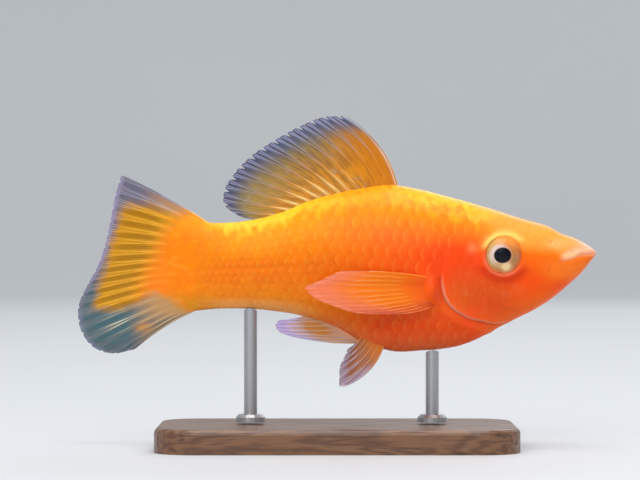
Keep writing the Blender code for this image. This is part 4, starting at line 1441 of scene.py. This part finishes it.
def pelvic_fin(side_name):
    side = SIDES[side_name]
    spread = {"right": 1.9, "left": 2.6}[side_name]
    tips = [(36.4, -19.3), (37.05, -19.4), (37.1, -18.2), (37.1, -16.9), (36.3, -15.2), (35.9, -14.2)]
    return Fin(
        "pelvic",
        root=lambda t: np.stack([30.6 + 3.2 * t, belly(30.6 + 3.2 * t) + 1.2]),
        tip=outline(tips),
        bow=lambda t: -0.3 - 0.8 * (1 - t) ** 1.5,
        side=lambda t, u: side * (1.0 + spread * u),
        forks=(0.45, 0.75), notch=0.09, flesh=0.15, side_name=side_name, ray_width=0.8,
    )


def pelvic_membrane_finish():
    finish = FinFinish("orange_pelvic_membrane", "pelvic")
    across, along = finish.across, finish.along
    front = across.rise(0.3, 0.04) * along.rise(0.35, 0.6)
    colour = finish.layers(
        paint(226, 122, 36),
        ((along + finish.noise(0.0012) * 0.3 + across * 0.1).rise(0.25, 0.6), paint(172, 114, 82)),
        (along.rise(0.76, 0.95).math("MAXIMUM", front) * 0.9, paint(178, 160, 184)),
    )
    return finish.wet(colour, Alpha=finish.fade(0.97, 0.66))


class GOLDMOLLY_OT_pelvic_fins(bpy.types.Operator):
    """Build both pelvic fins"""

    bl_idname = "gold_molly.pelvic_fins"
    bl_label = "Pelvic fins"

    def execute(self, context):
        inner, outer = paint(222, 146, 84), paint(190, 172, 188)
        rays = ray_finish("orange_pelvic_rays", "pelvic", inner, outer, 0.35, 0.8)
        fins = [pelvic_fin(side_name) for side_name in SIDES]
        build_fins(context, fins, pelvic_membrane_finish(), rays)
        return {"FINISHED"}


def pectoral_fin(side_name):
    side = SIDES[side_name]
    root_s, root_top, root_low, sunk = 22.9, -3.9, -7.3, 1.1

    def root(t):
        return np.stack([root_s + 0 * t, root_top + (root_low - root_top) * t])

    return Fin(
        "pectoral",
        root=root,
        tip=outline([
            (37.4, -2.8), (40.1, -4.1), (42.1, -5.1), (40.7, -6.5), (38.2, -7.6), (35.2, -8.6), (30.2, -8.8),
        ]),
        bow=lambda t: 0.5 - t,
        side=lambda t, u: side * (flank(*root(t)) - sunk + 2.9 * (1 - (1 - u) ** 4) + 0.5 * t * u),
        forks=(0.4, 0.7), notch=0.02, flesh=0.42, side_name=side_name,
        flesh_reach=0.35, ray_width=0.55, wave=0.02,
    )


def pectoral_membrane_finish():
    finish = FinFinish("orange_pectoral_membrane", "pectoral")
    across, along = finish.across, finish.along
    colour = finish.layers(
        paint(255, 84, 4),
        (along.rise(0.0, 0.45), paint(255, 122, 4)),
        ((along + across.rise(0.5, 1.0) * 0.25).rise(0.6, 0.92), paint(255, 132, 92)),
        (finish.off_ray().rise(0.55, 0.95) * 0.15, paint(226, 84, 10)),
        (across.rise(0.55, 0.95) * 0.6, paint(236, 92, 48)),
    )
    lower_edge = (across + along * 0.15).rise(0.65, 1.1)
    return finish.wet(colour, Alpha=0.97 - lower_edge * 0.6 - along.rise(0.6, 1.0) * 0.12)


def pectoral_ray_finish():
    finish = FinFinish("orange_pectoral_rays", "pectoral")
    return finish.wet(finish.layers(
        paint(255, 146, 50),
        ((finish.along + finish.noise(0.002) * 0.1).rise(0.5, 0.9), paint(252, 156, 126)),
        (finish.across.rise(0.55, 0.95) * 0.8, paint(236, 108, 66)),
    ))


class GOLDMOLLY_OT_pectoral_fins(bpy.types.Operator):
    """Build both pectoral fins"""

    bl_idname = "gold_molly.pectoral_fins"
    bl_label = "Pectoral fins"

    def execute(self, context):
        fins = [pectoral_fin(side_name) for side_name in SIDES]
        build_fins(context, fins, pectoral_membrane_finish(), pectoral_ray_finish())
        return {"FINISHED"}


# Stand


def walnut_finish():
    finish = Finish("oiled_walnut", Coat_Roughness=0.25, IOR=1.5)
    grain = finish.noise(0.004, 4.0, stretch=(0.16, 1.0, 1.0))
    rings = (grain * 60.0).math("SINE") * 0.5 + 0.5
    pores = finish.noise(0.0006, 3.0, stretch=(0.06, 1.0, 1.0)).rise(0.56, 0.72)
    return finish.made(
        Base_Color=finish.layers(
            paint(92, 58, 36), (rings, paint(122, 82, 52)), (pores * 0.65, paint(48, 28, 18))
        ),
        Roughness=0.38 + pores * 0.25,
        Coat_Weight=0.2 - pores * 0.15,
        Normal=finish.bump(rings * 0.2 - pores, 0.00005),
    )


def steel_finish():
    finish = Finish("brushed_steel", Metallic=1.0, IOR=2.5)
    brush = finish.noise(0.0003, 3.0, stretch=(1.0, 1.0, 12.0))
    return finish.made(
        Base_Color=finish.mix(brush, paint(150, 150, 152), paint(196, 196, 198)),
        Roughness=0.26 + brush * 0.2,
        Normal=finish.bump(brush, 0.00001),
    )


class GOLDMOLLY_OT_stand(bpy.types.Operator):
    """Finish the display stand"""

    bl_idname = "gold_molly.stand"
    bl_label = "Stand"

    def execute(self, context):
        wood, steel = walnut_finish(), steel_finish()
        for node, material in (("stand_base", wood), ("stand_rod_front", steel), ("stand_rod_rear", steel)):
            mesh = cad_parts[node].data
            mesh.materials.clear()
            mesh.materials.append(material)
        return {"FINISHED"}


# Stage


def floor_finish():
    finish = Finish("pale_floor", Roughness=0.7)
    return finish.made(Base_Color=finish.mix(finish.noise(0.3), paint(202, 204, 207), paint(209, 210, 211)))


def bowl(radius, height, material):
    """A round floor that curves up into a wall on all sides."""
    bend, steps = 0.5, 96
    profile = [(radius * share, 0.0) for share in np.linspace(0.02, 1.0, 12)]
    profile += [
        (radius + bend * math.sin(a), bend * (1 - math.cos(a))) for a in np.linspace(0.1, math.pi / 2, 14)
    ]
    profile.append((radius + bend, height))
    turns = [TURN * k / steps for k in range(steps)]
    vertices = [(r * math.cos(turn), r * math.sin(turn), z) for r, z in profile for turn in turns]
    faces = ring_faces(len(profile), steps)
    faces += [(k, (k + 1) % steps, len(vertices)) for k in range(steps)]
    floor = new_piece("floor", [*vertices, (0.0, 0.0, 0.0)], faces, material)
    shade(floor.data, 60)
    return floor


def area_light(name, at, size, watts):
    """A soft rectangular light that points at the fish."""
    light = bpy.data.lights.new(name, "AREA")
    light.shape, light.energy = "RECTANGLE", watts
    light.size, light.size_y = size
    lamp = link(name, light)
    lamp.location = at
    target = Vector((0.0, 0.0, 0.028))
    lamp.rotation_euler = (target - Vector(at)).to_track_quat("-Z", "Y").to_euler()


class GOLDMOLLY_OT_stage(bpy.types.Operator):
    """Set the floor, the lights and the camera"""

    bl_idname = "gold_molly.stage"
    bl_label = "Stage"

    def execute(self, context):
        sizes = context.scene.gold_molly_stage
        scene = context.scene
        scene.view_settings.view_transform = "Standard"
        bowl(sizes.floor_radius, 0.9, floor_finish())
        world = bpy.data.worlds.new("soft_daylight")
        world.use_nodes = True
        background = world.node_tree.nodes["Background"]
        background.inputs["Color"].default_value = (0.92, 0.96, 1.0, 1.0)
        background.inputs["Strength"].default_value = 0.82
        scene.world = world
        area_light("top_light", (0.05, -0.2, 0.95), (0.6, 0.6), 4.4)
        area_light("front_light", (-0.25, -0.9, 0.55), (1.0, 0.6), 4.8)
        area_light("rear_light", (0.3, 0.9, 0.6), (0.6, 0.5), 1.5)

        camera = bpy.data.cameras.new("camera")
        camera.sensor_width = 36.0
        view_middle, view_width = (-2.44, 30.14), 92.65
        camera.lens = camera.sensor_width * sizes.camera_distance / (view_width * MM)
        camera.clip_start, camera.clip_end = 0.01, 20.0
        holder = link("camera", camera)
        holder.location = (view_middle[0] * MM, -sizes.camera_distance, view_middle[1] * MM)
        holder.rotation_euler = (math.pi / 2, 0.0, 0.0)
        scene.camera = holder
        return {"FINISHED"}


OPERATORS = (
    GOLDMOLLY_OT_skin, GOLDMOLLY_OT_scales, GOLDMOLLY_OT_eyes, GOLDMOLLY_OT_dorsal_fin, GOLDMOLLY_OT_tail_fin,
    GOLDMOLLY_OT_anal_fin, GOLDMOLLY_OT_pelvic_fins, GOLDMOLLY_OT_pectoral_fins, GOLDMOLLY_OT_stand,
    GOLDMOLLY_OT_stage,
)
SETTINGS = {
    "gold_molly_body": BodyLook, "gold_molly_scales": ScaleSizes, "gold_molly_eyes": EyeSizes,
    "gold_molly_fins": FinSizes, "gold_molly_stage": StageSizes,
}


class GOLDMOLLY_PT_panel(bpy.types.Panel):
    """The fish's settings and pieces in the sidebar"""

    bl_idname = "GOLDMOLLY_PT_panel"
    bl_label = "Gold Molly"
    bl_space_type = "VIEW_3D"
    bl_region_type = "UI"
    bl_category = "Gold Molly"

    def draw(self, context):
        for name, group in SETTINGS.items():
            box = self.layout.box()
            for setting in group.__annotations__:
                box.prop(getattr(context.scene, name), setting)
        for operator in OPERATORS:
            self.layout.operator(operator.bl_idname)


def register():
    for item in (*SETTINGS.values(), *OPERATORS, GOLDMOLLY_PT_panel):
        bpy.utils.register_class(item)
    for name, group in SETTINGS.items():
        setattr(bpy.types.Scene, name, bpy.props.PointerProperty(type=group))


def unregister():
    for name in SETTINGS:
        delattr(bpy.types.Scene, name)
    for item in (GOLDMOLLY_PT_panel, *reversed(OPERATORS), *reversed(SETTINGS.values())):
        bpy.utils.unregister_class(item)


def main():
    register()
    for operator in OPERATORS:
        group, name = operator.bl_idname.split(".")
        getattr(getattr(bpy.ops, group), name)()


if __name__ == "__main__":
    main()
